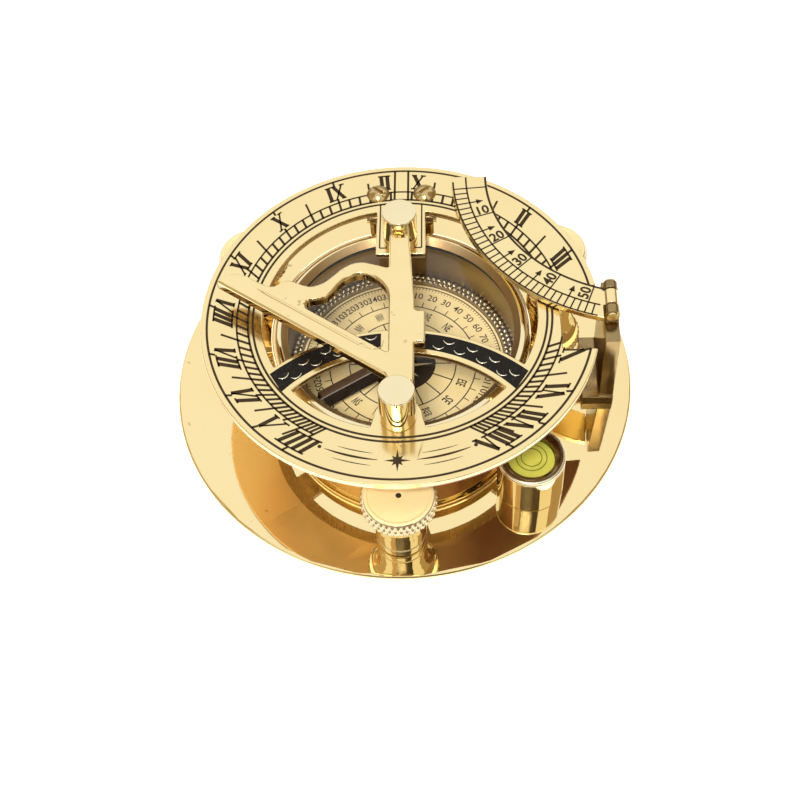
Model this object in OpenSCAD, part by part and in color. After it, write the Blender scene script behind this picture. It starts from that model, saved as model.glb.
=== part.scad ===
// Sundial compass in brass: a compass drum on a round levelling base, under a hinged hour ring
// with a folding gnomon and a folding latitude arc.
// +X is the afternoon side, +Y points to the twelve o'clock mark, +Z is up, z = 0 is the table.

/* [Base] */
// Diameter of the base plate
base_d = 128; // [121:1:140]
// Thickness of the base plate
base_t = 4; // [3.4:0.2:6]
// Radius that rounds the thin rim of the base plate
base_edge_r = 0.7; // [0.5:0.1:1.6]
// Width of the bevel under the rim of the base plate
base_bevel = 4.2; // [3:0.2:5]
// Height of the plate's underside above the table
foot_gap = 4; // [3.8:0.2:6]

/* [Levelling screws] */
// Distance of the levelling screws from the centre
screw_pitch_r = 51.2; // [50.6:0.2:53]
// Radius of the knurled heads
knob_r = 9.9; // [8:0.1:10.6]
// Thickness of the knurled heads
knob_t = 4.5; // [3.5:0.5:5.5]
// Height of the head's top above the base plate
knob_top = 20.8; // [18:0.2:22]
// Radius of the sleeve under the head
sleeve_r = 6.7; // [6.3:0.1:7.5]
// Radius of the threaded shaft
shaft_r = 3; // [2.6:0.1:3.4]
// Height of the threaded bush above the base plate
bush_h = 7; // [5:0.5:9]
// Radius of the foot pads
pad_r = 6.5; // [5:0.5:7.5]
// Thickness of the foot pads
pad_t = 1.6; // [1.6:0.1:1.7]

/* [Compass drum] */
// Outer radius of the drum wall
drum_r = 34.2; // [33.4:0.2:34.4]
// Thickness of the drum wall
drum_wall = 3; // [2.4:0.2:3.4]
// Thickness of the drum floor
drum_floor = 3; // [2.6:0.2:4]
// Height of the bezel's top above the base plate
drum_h = 23; // [21:0.5:24]
// Height of the bezel
bezel_h = 7.8; // [6:0.2:9]
// How far the bezel stands out past the drum's wall
bezel_over = 1; // [0.8:0.1:1.2]
// Width of the bezel's lip over the glass
lip_w = 2.7; // [2.2:0.1:5.2]
// Thickness of the bezel's lip over the glass
bezel_lip = 1.5; // [1:0.1:2]
// Thickness of the compass glass
glass_t = 1.4; // [1:0.1:2]
// Thickness of the gasket under the glass
gasket_t = 0.5; // [0.3:0.1:0.8]

/* [Compass works] */
// Distance from the card's edge to the drum's wall
card_gap = 2.8; // [2.6:0.2:5.2]
// Thickness of the card
card_t = 0.5; // [0.3:0.1:1]
// Height of the card's face above the base plate
card_top = 6; // [5.6:0.2:7]
// Height of the milled ring round the card
milled_h = 5; // [4.4:0.2:7]
// Distance from the needle's tip to the card's edge
needle_gap = 0.8; // [0.6:0.1:8]
// Length of the needle's tail
needle_tail = 13; // [11:0.5:16]
// Width of the needle
needle_w = 5.8; // [4.5:0.1:7]
// Thickness of the needle
needle_t = 0.8; // [0.5:0.1:1.2]
// Height of the needle's underside above the base plate
needle_z = 8.8; // [8.2:0.2:10]
// Direction of the needle's dark end from +X
needle_turn = 212.7; // [0:0.1:360]
// Radius of the pivot
pivot_r = 0.9; // [0.7:0.1:1.2]
// Radius of the needle's cap
cap_r = 3; // [2.6:0.1:3.5]

/* [Hour ring] */
// Outer radius of the ring
ring_r = 53.4; // [52.8:0.2:54]
// Radius of the ring's opening
ring_open_r = 36.8; // [36.2:0.2:37.4]
// Thickness of the ring
ring_t = 2; // [1.6:0.1:2.4]
// Height of the ring's face above the base plate
ring_top = 28.9; // [28.5:0.1:31]
// Radius of the cross band's back edge
band_back_r = 51; // [48:0.5:54]
// Distance of that edge's centre in front of the ring's centre
band_back_c = 56.3; // [54:0.1:58]
// Radius of the cross band's front edge
band_front_r = 38.9; // [37:0.1:40]
// Distance of that edge's centre in front of the ring's centre
band_front_c = 51.6; // [50:0.1:53]
// Half width of the front lug at the ring
lug_front_root = 7.5; // [6.5:0.1:8.5]
// Radius of the front lug's rounded end
lug_front_tip = 6.2; // [5.6:0.1:7]
// Half width of the back lug
lug_back_w = 6.8; // [6.2:0.1:7.4]
// Where the notch for the latitude arc starts, from the centre
notch_x = 42.8; // [42.4:0.1:43]
// Front edge of that notch
notch_front = -12.3; // [-14:0.1:-11]
// Back edge of that notch
notch_back = 9; // [8.8:0.1:9.4]

/* [Gnomon] */
// Distance of the front post from the ring's centre
post_front = 33; // [32.4:0.1:33.6]
// Distance of the back post from the ring's centre
post_back = 25.4; // [24.6:0.1:26]
// Radius of the posts
post_r = 4.7; // [4.4:0.1:5]
// Height of the posts above the ring
post_h = 12; // [11.4:0.1:13]
// Height of the gnomon's axis above the ring
axle_h = 7.4; // [7:0.1:8]
// Radius of the gnomon's axle ends
axle_r = 1.4; // [1:0.1:1.6]
// Length of each axle end inside its post
axle_l = 3.2; // [2.4:0.1:4]
// Thickness of the gnomon
gnomon_t = 3.4; // [2.6:0.1:3.6]
// Reach of the gnomon's tip from its axis
gnomon_reach = 48.3; // [46:0.1:50]
// Distance of the tip behind the ring's centre
gnomon_tip_y = 4.7; // [3:0.1:6]
// Width of the straight arm
arm_w = 6; // [5.6:0.1:6.4]
// Width of the gnomon's bar at its back end
bar_w = 5.2; // [4.6:0.1:6]
// How much wider the bar grows towards the front
bar_grow = 1.7; // [1.2:0.1:2]
// Length of the stop tab along the bar
tab_l = 10.4; // [9:0.1:11]
// Distance of the stop tab's back edge in front of the ring's centre
tab_back = 5.7; // [5.4:0.1:6.4]

/* [Ring hinge] */
// Clearance between the bezel and the hinge block
tilt_gap = 0.6; // [0.4:0.1:0.9]
// Depth of that axis below the ring's underside
tilt_drop = 2.5; // [2.5:0.1:2.8]
// Radius of the hinge knuckles
knuckle_r = 2.2; // [1.9:0.1:2.2]
// Radius of the hinge pins
pin_r = 1; // [0.8:0.1:1.2]
// Half width of the leaf's knuckle
leaf_knuckle_w = 4; // [3:0.1:5]
// Half width of the hinge block
block_w = 9; // [8:0.1:10]
// Depth of the hinge block's foot behind the axis
block_foot = 11; // [9:0.5:13]
// Half width of the leaf
leaf_w = 10.4; // [10:0.1:12]
// Length of the leaf behind the axis
leaf_l = 9.5; // [8:0.1:11]
// Thickness of the leaf
leaf_t = 1.4; // [1.2:0.1:1.6]
// Distance of the leaf's screws from the middle
leaf_screw_x = 6.6; // [6:0.1:7]
// Distance of the leaf's screws behind the hinge axis
leaf_screw_back = 5; // [4.8:0.1:5.4]
// Radius of the leaf's round screw heads
leaf_head_r = 3.3; // [2.8:0.1:3.6]

/* [Latitude arc] */
// Radius of the arc's graduated edge
arc_out_r = 52.2; // [52:0.1:52.6]
// Radius of the arc's inner edge
arc_in_r = 42.3; // [41.8:0.1:43]
// Centre of the arc along X
arc_cx = 66.5; // [66:0.1:67]
// Centre of the arc along Y
arc_cy = 46.5; // [46:0.1:47]
// Thickness of the arc
arc_t = 1.8; // [1.4:0.1:2]
// Gap between the folded arc and the ring
arc_gap = 0.5; // [0.4:0.1:0.8]
// Distance of the arc's hinge axis from the ring's edge
fold_gap = 2.9; // [2.8:0.1:3.2]
// Radius of the arc's knuckles
fold_r = 2; // [1.8:0.1:2.1]
// Front face of the bracket
bracket_front = -9.4; // [-10:0.1:-8.6]
// Back face of the bracket
bracket_back = 10.6; // [10:0.1:11.2]
// Front end of the arc's knuckle
fold_front = 0.2; // [-0.4:0.1:0.8]
// Back end of the arc's knuckle
fold_back = 5; // [4.4:0.1:5.8]
// Length of each ear beside the arc's knuckle
ear_l = 2.7; // [2.4:0.1:4]
// Thickness of the feet of the bracket and the hinge block
flange_t = 3; // [2.4:0.1:3.6]

/* [Spirit level] */
// Place of the level along X
level_x = 34.3; // [34:0.1:35]
// Place of the level along Y
level_y = -35.6; // [-36:0.1:-35]
// Outer radius of the level's cup
level_r = 8.9; // [8.4:0.1:9.2]
// Height of the level above the base plate
level_h = 14; // [13:0.1:15]
// Wall of the level's cup
level_wall = 1.5; // [1.2:0.1:1.8]
// Height of the level's rim
rim_h = 1.2; // [1:0.1:1.6]
// Thickness of the cup's floor
level_floor = 3; // [2.6:0.1:3.4]
// Wall of the vial
vial_wall = 1.2; // [1:0.1:1.6]

/* [Fasteners and fits] */
// Radius of the small machine screws
bolt_r = 1.5; // [1.2:0.1:1.8]
// Radius of their heads
bolt_head_r = 2.8; // [2.4:0.1:3.2]
// Thickness of their heads
bolt_head_t = 1.4; // [1.2:0.1:1.6]
// Radial clearance of every turning or sliding fit
run_gap = 0.05; // [0.03:0.01:0.08]
// Clearance between faces that pass each other
side_gap = 0.3; // [0.2:0.05:0.4]

/* [Hidden] */
$fn = 96;

brass = "#d9b35c";
bright_brass = "#ecd08a";
deck = foot_gap + base_t;
eps = 0.01;

// Levelling screws
screw_turns = [-90, 34, 146];
sleeve_gap = 0.4;
screw_travel = 2;
bush_r = sleeve_r - 1.3;
spigot_r = 4.5;
sleeve_bore_r = bush_r + 0.2;
teeth = 40;
tooth_depth = 0.55;
knob_core_r = knob_r - tooth_depth - 0.2;
pad_tip_r = 2.4;
pad_tip_depth = 0.9;

// Drum stack, from the floor up
drum_in_r = drum_r - drum_wall;
neck_r = drum_r - 1;
bezel_r = drum_r + bezel_over;
bezel_open_r = neck_r - lip_w;
card_r = drum_in_r - card_gap;
card_ledge = 2.4;
needle_half = card_r - needle_gap;
needle_point = 2;
bezel_base = deck + drum_h - bezel_h;
lip_z = deck + drum_h - bezel_lip;
glass_z = lip_z - glass_t;
gasket_z = glass_z - gasket_t;
floor_top = deck + drum_floor;
card_z = deck + card_top - card_t;
drum_screw_r = drum_r - 12.2;
cap_h = 1.7;
cap_stem_r = 1.8;

// Hour ring
ring_z = deck + ring_top;
ring_low = ring_z - ring_t;
axle_z = ring_z + axle_h;
tab_reach = axle_h - side_gap;
bar_back = post_back - post_r - side_gap;
bar_front = -post_front + post_r + side_gap;
post_tail_r = 2;
nut_r = 3.4;
nut_t = 1.6;

// Hinges
tilt_y = bezel_r + tilt_gap + knuckle_r;
leaf_screw_y = tilt_y + leaf_screw_back;
block_bolt_x = 5.5;
block_bolt_y = tilt_y + 6.6;
fold_x = ring_r + fold_gap;
tilt_z = ring_low - tilt_drop;
arc_z = ring_z + arc_gap;
fold_z = arc_z + arc_t / 2;
arc_end_x = fold_x - fold_r - side_gap;
bracket_in = arc_end_x + 0.2;
bracket_out = fold_x + 1.9;
bracket_foot = 4.6;
bracket_step = 0.8;
bracket_bolt_x = bracket_in - 2.1;
arc_near_end = fold_front - 20.2;
arc_far_end = arc_cy + 0.4;
leaf_slot_y = knuckle_r + 0.5;

// Level stack, from its floor up
level_top = deck + level_h;
level_floor_z = deck + level_floor;
vial_r = level_r - level_wall - run_gap;
vial_base = 1.5;
vial_cover = 1;
vial_hole_r = vial_r - vial_wall;
vial_hole_h = level_h - rim_h - level_floor - vial_base - vial_cover;
rim_lip = 1.1;

function polar(r, a) = [r * cos(a), r * sin(a)];
function blend(a, b, c, d, t) = 0.5 * (2 * b + (c - a) * t + (2 * a - 5 * b + 4 * c - d) * t * t
    + (3 * b - a - 3 * c + d) * t * t * t);
// An open smooth curve through its points
function smooth(p, steps = 5) = [for (i = [0:len(p) - 2]) for (s = [0:steps - 1])
    blend(p[max(i - 1, 0)], p[i], p[i + 1], p[min(i + 2, len(p) - 1)], s / steps), p[len(p) - 1]];

module disc(r, z, h) {
    translate([0, 0, z])
        cylinder(r = r, h = h);
}

module tube(r_out, r_in, z, h) {
    difference() {
        disc(r_out, z, h);
        disc(r_in, z - eps, h + 2 * eps);
    }
}

// A rod along Y, from its front end
module rod_y(r, x, y, z, l) {
    translate([x, y, z])
        rotate([-90, 0, 0])
            cylinder(r = r, h = l);
}

// A rod along X, centred on the middle plane
module rod_x(r, y, z, half) {
    translate([-half, y, z])
        rotate([0, 90, 0])
            cylinder(r = r, h = 2 * half);
}

// A box between two corners
module block(a, b) {
    translate(a)
        cube(b - a);
}

// Places of the machine screws that come up through the base plate
drum_bolts = [for (a = [90, 210, 330]) polar(drum_screw_r, a)];
block_bolts = [[-block_bolt_x, block_bolt_y], [block_bolt_x, block_bolt_y]];
bracket_bolts = [[bracket_bolt_x, bracket_front + 3], [bracket_bolt_x, bracket_back - 3]];
level_bolts = [[level_x, level_y]];
all_bolts = concat(drum_bolts, block_bolts, bracket_bolts, level_bolts);
bolt_depth = 2.2;

module bolt_holes(places) {
    for (p = places)
        translate([p[0], p[1], deck - eps])
            cylinder(r = bolt_r + run_gap, h = bolt_depth + 0.2 + eps, $fn = 32);
}

module bolts(places) {
    for (p = places)
        translate([p[0], p[1], foot_gap]) {
            cylinder(r = bolt_head_r, h = bolt_head_t, $fn = 40);
            cylinder(r = bolt_r, h = base_t + bolt_depth, $fn = 32);
        }
}

module base_plate() {
    color(brass)
        difference() {
            translate([0, 0, foot_gap])
                rotate_extrude($fn = 180)
                    intersection() {
                        square([base_d, base_t]);
                        hull() {
                            square([base_d / 2 - base_bevel, base_t]);
                            translate([base_d / 2 - base_edge_r, base_t - base_edge_r])
                                circle(r = base_edge_r, $fn = 40);
                        }
                    }
            for (a = screw_turns)
                translate(concat(polar(screw_pitch_r, a), foot_gap - eps))
                    cylinder(r = spigot_r, h = base_t + 2 * eps, $fn = 48);
            for (p = all_bolts)
                translate([p[0], p[1], foot_gap - eps]) {
                    cylinder(r = bolt_r + run_gap, h = base_t + 2 * eps, $fn = 32);
                    cylinder(r = bolt_head_r + run_gap, h = bolt_head_t + eps, $fn = 40);
                }
        }
}

module screw_bushes() {
    color(brass)
        for (a = screw_turns)
            translate(concat(polar(screw_pitch_r, a), 0))
                difference() {
                    union() {
                        disc(spigot_r - run_gap / 2, foot_gap, base_t + eps);
                        disc(bush_r, deck, bush_h);
                    }
                    disc(shaft_r + run_gap, foot_gap - eps, base_t + bush_h + 2 * eps);
                }
}

// The toothed rim of a levelling screw's head
module toothed_rim(z, h) {
    translate([0, 0, z])
        linear_extrude(h)
            polygon([for (i = [0:2 * teeth - 1])
                polar(i % 2 == 0 ? knob_r : knob_r - tooth_depth, 180 * i / teeth)]);
}

module levelling_screw(a) {
    head_top = deck + knob_top;
    head_low = head_top - knob_t;
    bevel = 1;
    color(brass)
        translate(concat(polar(screw_pitch_r, a), 0))
            difference() {
                union() {
                    disc(shaft_r, pad_t, head_low - pad_t + eps);
                    disc(pad_tip_r, pad_t - pad_tip_depth, pad_tip_depth + eps);
                    difference() {
                        disc(sleeve_r, deck + sleeve_gap, head_low - deck - sleeve_gap + eps);
                        disc(sleeve_bore_r, deck + sleeve_gap - eps, bush_h + eps);
                    }
                    translate([0, 0, head_low])
                        cylinder(r1 = sleeve_r, r2 = knob_core_r, h = bevel);
                    disc(knob_core_r, head_low + bevel, knob_t - 2 * bevel);
                    toothed_rim(head_low + bevel, knob_t - 2 * bevel);
                    translate([0, 0, head_top - bevel])
                        cylinder(r1 = knob_core_r, r2 = knob_core_r - 0.7, h = bevel);
                }
                translate([0, 0, head_top - 0.5])
                    cylinder(r1 = 0.3, r2 = 0.8, h = 0.6, $fn = 24);
            }
}

module levelling_screw_front() levelling_screw(screw_turns[0]);
module levelling_screw_right() levelling_screw(screw_turns[1]);
module levelling_screw_left() levelling_screw(screw_turns[2]);

module foot(a) {
    color(brass)
        translate(concat(polar(screw_pitch_r, a), 0))
            difference() {
                disc(pad_r, 0, pad_t);
                disc(pad_tip_r + run_gap, pad_t - pad_tip_depth, pad_tip_depth + eps);
            }
}

module foot_front() foot(screw_turns[0]);
module foot_right() foot(screw_turns[1]);
module foot_left() foot(screw_turns[2]);

module compass_drum() {
    color(brass)
        difference() {
            union() {
                disc(drum_r, deck, bezel_base - deck);
                disc(neck_r, deck, gasket_z - deck);
            }
            disc(drum_in_r, floor_top, gasket_z - floor_top + eps);
            bolt_holes(drum_bolts);
        }
}

// Carries the card on a ledge and stands round it
module milled_ring() {
    color(bright_brass)
        difference() {
            disc(drum_in_r - run_gap, floor_top, milled_h);
            disc(card_r + 0.2, card_z, milled_h);
            disc(card_r - card_ledge, floor_top - eps, milled_h);
        }
}

module compass_card() {
    color("#efe3c0")
        tube(card_r, pivot_r + 1.1, card_z, card_t);
}

module pivot_pin() {
    color(brass) {
        disc(3.2, floor_top, 1);
        disc(pivot_r, floor_top, deck + needle_z + needle_t + cap_h - 1 - run_gap - floor_top);
    }
}

module needle() {
    shoulder = needle_half - needle_point;
    color("#26242a")
        translate([0, 0, deck + needle_z])
            rotate([0, 0, needle_turn])
                linear_extrude(needle_t)
                    difference() {
                        polygon([[needle_half, 0], [shoulder, needle_w / 2],
                            [needle_point - needle_tail, needle_w / 2], [-needle_tail, 0],
                            [needle_point - needle_tail, -needle_w / 2], [shoulder, -needle_w / 2]]);
                        circle(r = cap_stem_r + run_gap, $fn = 40);
                    }
}

module needle_cap() {
    color(brass)
        translate([0, 0, deck + needle_z])
            difference() {
                union() {
                    cylinder(r = cap_stem_r, h = needle_t + eps, $fn = 40);
                    translate([0, 0, needle_t])
                        cylinder(r1 = cap_r, r2 = 1.2, h = cap_h, $fn = 48);
                }
                translate([0, 0, -eps])
                    cylinder(r = pivot_r + run_gap, h = needle_t + cap_h - 1 + eps, $fn = 32);
            }
}

module glass_gasket() {
    color("#2c2a28")
        tube(neck_r, drum_in_r, gasket_z, gasket_t);
}

module compass_glass() {
    color("#cfe0df", 0.35)
        disc(neck_r, glass_z, glass_t);
}

module drum_bezel() {
    round = 0.9;
    color(bright_brass)
        difference() {
            translate([0, 0, bezel_base])
                rotate_extrude($fn = 180)
                    union() {
                        square([bezel_r, bezel_h - round]);
                        square([bezel_r - round, bezel_h]);
                        translate([bezel_r - round, bezel_h - round])
                            circle(r = round, $fn = 40);
                    }
            disc(neck_r + run_gap, bezel_base - eps, lip_z - bezel_base + eps);
            disc(bezel_open_r, lip_z - 1, bezel_lip + 2);
            translate([0, 0, deck + drum_h - 0.7])
                cylinder(r1 = bezel_open_r, r2 = bezel_open_r + 0.8, h = 0.7 + eps);
        }
}

module drum_screws() {
    color(brass)
        bolts(drum_bolts);
}

module hinge_block() {
    color(brass)
        difference() {
            union() {
                block([-block_w, tilt_y - knuckle_r, deck], [block_w, tilt_y + knuckle_r, tilt_z]);
                block([-block_w, tilt_y - knuckle_r, deck],
                    [block_w, tilt_y + block_foot, deck + flange_t]);
                rod_x(knuckle_r, tilt_y, tilt_z, block_w);
            }
            block([-leaf_knuckle_w - side_gap, tilt_y - knuckle_r - 1, tilt_z - knuckle_r - 0.5],
                [leaf_knuckle_w + side_gap, tilt_y + knuckle_r + 1, tilt_z + knuckle_r + 1]);
            rod_x(pin_r + run_gap, tilt_y, tilt_z, block_w + 1);
            bolt_holes(block_bolts);
        }
}

module hinge_pin() {
    color(bright_brass)
        union() {
            rod_x(pin_r, tilt_y, tilt_z, block_w + 0.6);
            for (side = [-1, 1])
                translate([side * (block_w + 0.45), tilt_y, tilt_z])
                    rotate([0, 90, 0])
                        cylinder(r = pin_r + 0.5, h = 0.8, center = true, $fn = 32);
        }
}

module block_screws() {
    color(brass)
        bolts(block_bolts);
}

module hinge_leaf() {
    color(brass)
        difference() {
            union() {
                block([-leaf_w, tilt_y + leaf_slot_y, ring_low - leaf_t],
                    [leaf_w, tilt_y + leaf_l, ring_low]);
                block([-leaf_knuckle_w, tilt_y, ring_low - leaf_t],
                    [leaf_knuckle_w, tilt_y + leaf_slot_y + 1, ring_low]);
                rod_x(knuckle_r, tilt_y, tilt_z, leaf_knuckle_w);
            }
            rod_x(pin_r + run_gap, tilt_y, tilt_z, leaf_knuckle_w + 1);
            leaf_screw_holes();
        }
}

module leaf_screw_holes() {
    for (side = [-1, 1])
        translate([side * leaf_screw_x, leaf_screw_y, ring_low - leaf_t - 1])
            cylinder(r = bolt_r + run_gap, h = ring_t + leaf_t + 2, $fn = 32);
}

// Round heads with a slot, on the ring's face
module leaf_screws() {
    head_h = 1.7;
    ball_r = (leaf_head_r * leaf_head_r + head_h * head_h) / (2 * head_h);
    color(bright_brass)
        for (side = [-1, 1])
            translate([side * leaf_screw_x, leaf_screw_y, ring_z])
                difference() {
                    union() {
                        intersection() {
                            translate([0, 0, head_h - ball_r])
                                sphere(r = ball_r);
                            cylinder(r = leaf_head_r + 1, h = head_h + 1);
                        }
                        translate([0, 0, -ring_t - leaf_t])
                            cylinder(r = bolt_r, h = ring_t + leaf_t + 0.2, $fn = 32);
                    }
                    rotate([0, 0, side * 35])
                        block([-leaf_head_r - 1, -0.45, 0.8], [leaf_head_r + 1, 0.45, head_h + 1]);
                }
}

module hour_ring() {
    back_lug_end = post_back - post_r;
    color(bright_brass)
        difference() {
            union() {
                difference() {
                    disc(ring_r, ring_low, ring_t, $fn = 180);
                    disc(ring_open_r, ring_low - eps, ring_t + 2 * eps, $fn = 180);
                }
                intersection() {
                    disc(ring_open_r + 0.5, ring_low, ring_t);
                    difference() {
                        translate([0, -band_back_c, 0])
                            disc(band_back_r, ring_low, ring_t);
                        translate([0, -band_front_c, 0])
                            disc(band_front_r, ring_low - 1, ring_t + 2);
                    }
                }
                translate([0, 0, ring_low])
                    linear_extrude(ring_t)
                        polygon([[-lug_front_root, -ring_open_r - 0.6],
                            [lug_front_root, -ring_open_r - 0.6],
                            [lug_front_tip, -post_front], [-lug_front_tip, -post_front]]);
                translate([0, -post_front, 0])
                    disc(lug_front_tip, ring_low, ring_t);
                block([-lug_back_w, back_lug_end, ring_low],
                    [lug_back_w, ring_open_r + 0.6, ring_z]);
            }
            block([notch_x, notch_front, ring_low - 1], [ring_r + 1, notch_back, ring_z + 1]);
            for (y = [-post_front, post_back])
                translate([0, y, 0])
                    disc(post_tail_r + run_gap, ring_low - 1, ring_t + 2, $fn = 40);
            leaf_screw_holes();
        }
}

// A post with its threaded tail through the ring; turn faces its axle bore along Y
module post(y, turn) {
    color(bright_brass)
        translate([0, y, 0])
            difference() {
                union() {
                    disc(post_r, ring_z, post_h);
                    disc(post_tail_r, ring_low - nut_t - 0.4, ring_t + nut_t + 0.4 + eps, $fn = 40);
                }
                translate([0, 0, axle_z])
                    rotate([turn * -90, 0, 0])
                        translate([0, 0, post_r - axle_l - 0.2])
                            cylinder(r = axle_r + run_gap, h = axle_l + 1, $fn = 40);
            }
}

module front_post() post(-post_front, 1);
module back_post() post(post_back, -1);

module post_nuts() {
    color(brass)
        for (y = [-post_front, post_back])
            translate([0, y, ring_low - nut_t])
                difference() {
                    cylinder(r = nut_r, h = nut_t, $fn = 6);
                    translate([0, 0, -eps])
                        cylinder(r = post_tail_r + run_gap, h = nut_t + 2 * eps, $fn = 40);
                }
}

// The outer edge of the gnomon's straight arm, moved inwards by a distance, at a place along X
heel = [-bar_w / 2 - 0.4, bar_front + 2];
tip = [-gnomon_reach, gnomon_tip_y];
arm_run = norm(tip - heel);
arm_in = [(tip[1] - heel[1]) / arm_run, (heel[0] - tip[0]) / arm_run];
function arm_y(x, inwards) = heel[1] + (inwards - arm_in[0] * (x - heel[0])) / arm_in[1];

// The scroll between the bar and the tip, and the window under it
scroll = [[-bar_w / 2, 8.6], [-6.7, 10], [-9.7, 10.7], [-12.5, 10.2], [-15.2, 8.5], [-17.6, 6],
    [-20, 3.8], [-23, 2.7], [-25.6, 3.4], [-28.4, 4.7], [-30.6, 4.6], [-33.4, 2.9], [-37, 4.4],
    [-40, 6.4], [-43, 7.4], [-45.8, 7.3], [tip[0] + 0.8, tip[1] + 1.6], tip];
window_left = -23.6;
window_right = -2.4;
window = [[window_left - 0.8, -4], [window_left, -2.2], [-21.4, -1.7], [-19.2, -1.1], [-17.6, 0.4],
    [-15.8, 3.1], [-13.6, 5.4], [-10.3, 6.6], [-7.1, 5.9], [-4.6, 3.8], [-3, 1.2],
    [window_right, -1.6]];

module gnomon() {
    right = bar_w / 2 + bar_grow;
    color(bright_brass)
        union() {
            translate([0, 0, axle_z - gnomon_t / 2])
                linear_extrude(gnomon_t)
                    difference() {
                        polygon(concat([[right, bar_front], [right, -3], [bar_w / 2, bar_back],
                            [-bar_w / 2, bar_back]], smooth(scroll),
                            [heel, [-bar_w / 2, bar_front]]));
                        polygon(concat(smooth(window), [[window_right, arm_y(window_right, arm_w)],
                            [window_left, arm_y(window_left, arm_w)]]));
                    }
            block([right - 1, -tab_back - tab_l, axle_z - gnomon_t / 2],
                [tab_reach, -tab_back, axle_z + gnomon_t / 2]);
            rod_y(axle_r, 0, bar_back - 1, axle_z, side_gap + axle_l + 1);
            rod_y(axle_r, 0, bar_front - side_gap - axle_l, axle_z, side_gap + axle_l + 1);
        }
}

module arc_bracket() {
    wall_low = fold_z - fold_r - 0.5;
    color(brass)
        difference() {
            union() {
                block([bracket_in - bracket_foot, bracket_front - bracket_step, deck],
                    [bracket_out, bracket_back, deck + flange_t]);
                block([bracket_in, bracket_front, deck], [bracket_out, bracket_back, wall_low]);
                for (y = [fold_front - side_gap - ear_l, fold_back + side_gap]) {
                    block([bracket_in + 0.6, y, wall_low - 1], [bracket_out, y + ear_l, fold_z]);
                    rod_y(fold_r, fold_x, y, fold_z, ear_l);
                }
            }
            rod_y(pin_r + run_gap, fold_x, fold_front - side_gap - ear_l - 1, fold_z,
                fold_back - fold_front + 2 * (side_gap + ear_l) + 2);
            bolt_holes(bracket_bolts);
        }
}

module arc_pin() {
    front = fold_front - side_gap - ear_l - 0.6;
    length = fold_back - fold_front + 2 * (side_gap + ear_l + 0.6);
    color(bright_brass)
        union() {
            rod_y(pin_r, fold_x, front, fold_z, length);
            rod_y(pin_r + 0.5, fold_x, front, fold_z, 0.55);
            rod_y(pin_r + 0.5, fold_x, front + length - 0.55, fold_z, 0.55);
        }
}

module bracket_screws() {
    color(brass)
        bolts(bracket_bolts);
}

module latitude_arc() {
    color(bright_brass)
        difference() {
            union() {
                intersection() {
                    translate([arc_cx, arc_cy, 0])
                        difference() {
                            disc(arc_out_r, arc_z, arc_t, $fn = 180);
                            disc(arc_in_r, arc_z - eps, arc_t + 2 * eps, $fn = 180);
                        }
                    block([0, arc_near_end, arc_z - 1], [arc_end_x, arc_far_end, arc_z + arc_t + 1]);
                }
                block([arc_end_x - 2.4, fold_front, arc_z],
                    [fold_x, fold_back, arc_z + arc_t]);
                rod_y(fold_r, fold_x, fold_front, fold_z, fold_back - fold_front);
            }
            rod_y(pin_r + run_gap, fold_x, fold_front - 1, fold_z, fold_back - fold_front + 2);
        }
}

module level_cup() {
    color(bright_brass)
        difference() {
            translate([level_x, level_y, 0])
                difference() {
                    disc(level_r, deck, level_h - rim_h);
                    disc(level_r - level_wall, level_floor_z, level_h);
                }
            bolt_holes(level_bolts);
        }
}

module level_vial() {
    color("#dfe8d0", 0.35)
        translate([level_x, level_y, 0])
            difference() {
                disc(vial_r, level_floor_z, level_h - rim_h - level_floor);
                disc(vial_hole_r, level_floor_z + vial_base, vial_hole_h);
            }
}

module level_fluid() {
    color("#b7c23a", 0.6)
        translate([level_x, level_y, 0])
            disc(vial_hole_r - run_gap, level_floor_z + vial_base, vial_hole_h - run_gap);
}

module level_rim() {
    color(brass)
        translate([level_x, level_y, 0])
            tube(level_r, level_r - level_wall - rim_lip, level_top - rim_h, rim_h);
}

module level_screw() {
    color(brass)
        bolts(level_bolts);
}

base_plate();
screw_bushes();
levelling_screw_front();
levelling_screw_right();
levelling_screw_left();
foot_front();
foot_right();
foot_left();
compass_drum();
milled_ring();
compass_card();
pivot_pin();
needle();
needle_cap();
glass_gasket();
compass_glass();
drum_bezel();
drum_screws();
hinge_block();
hinge_pin();
block_screws();
hinge_leaf();
leaf_screws();
hour_ring();
front_post();
back_post();
post_nuts();
gnomon();
arc_bracket();
arc_pin();
bracket_screws();
latitude_arc();
level_cup();
level_vial();
level_fluid();
level_rim();
level_screw();
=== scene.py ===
"""Sundial compass in polished brass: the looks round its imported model. Lengths here are in millimetres."""

import math

import bmesh
import bpy
import numpy as np
from bpy.props import FloatProperty, FloatVectorProperty, IntProperty, PointerProperty
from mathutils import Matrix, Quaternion, Vector


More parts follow.
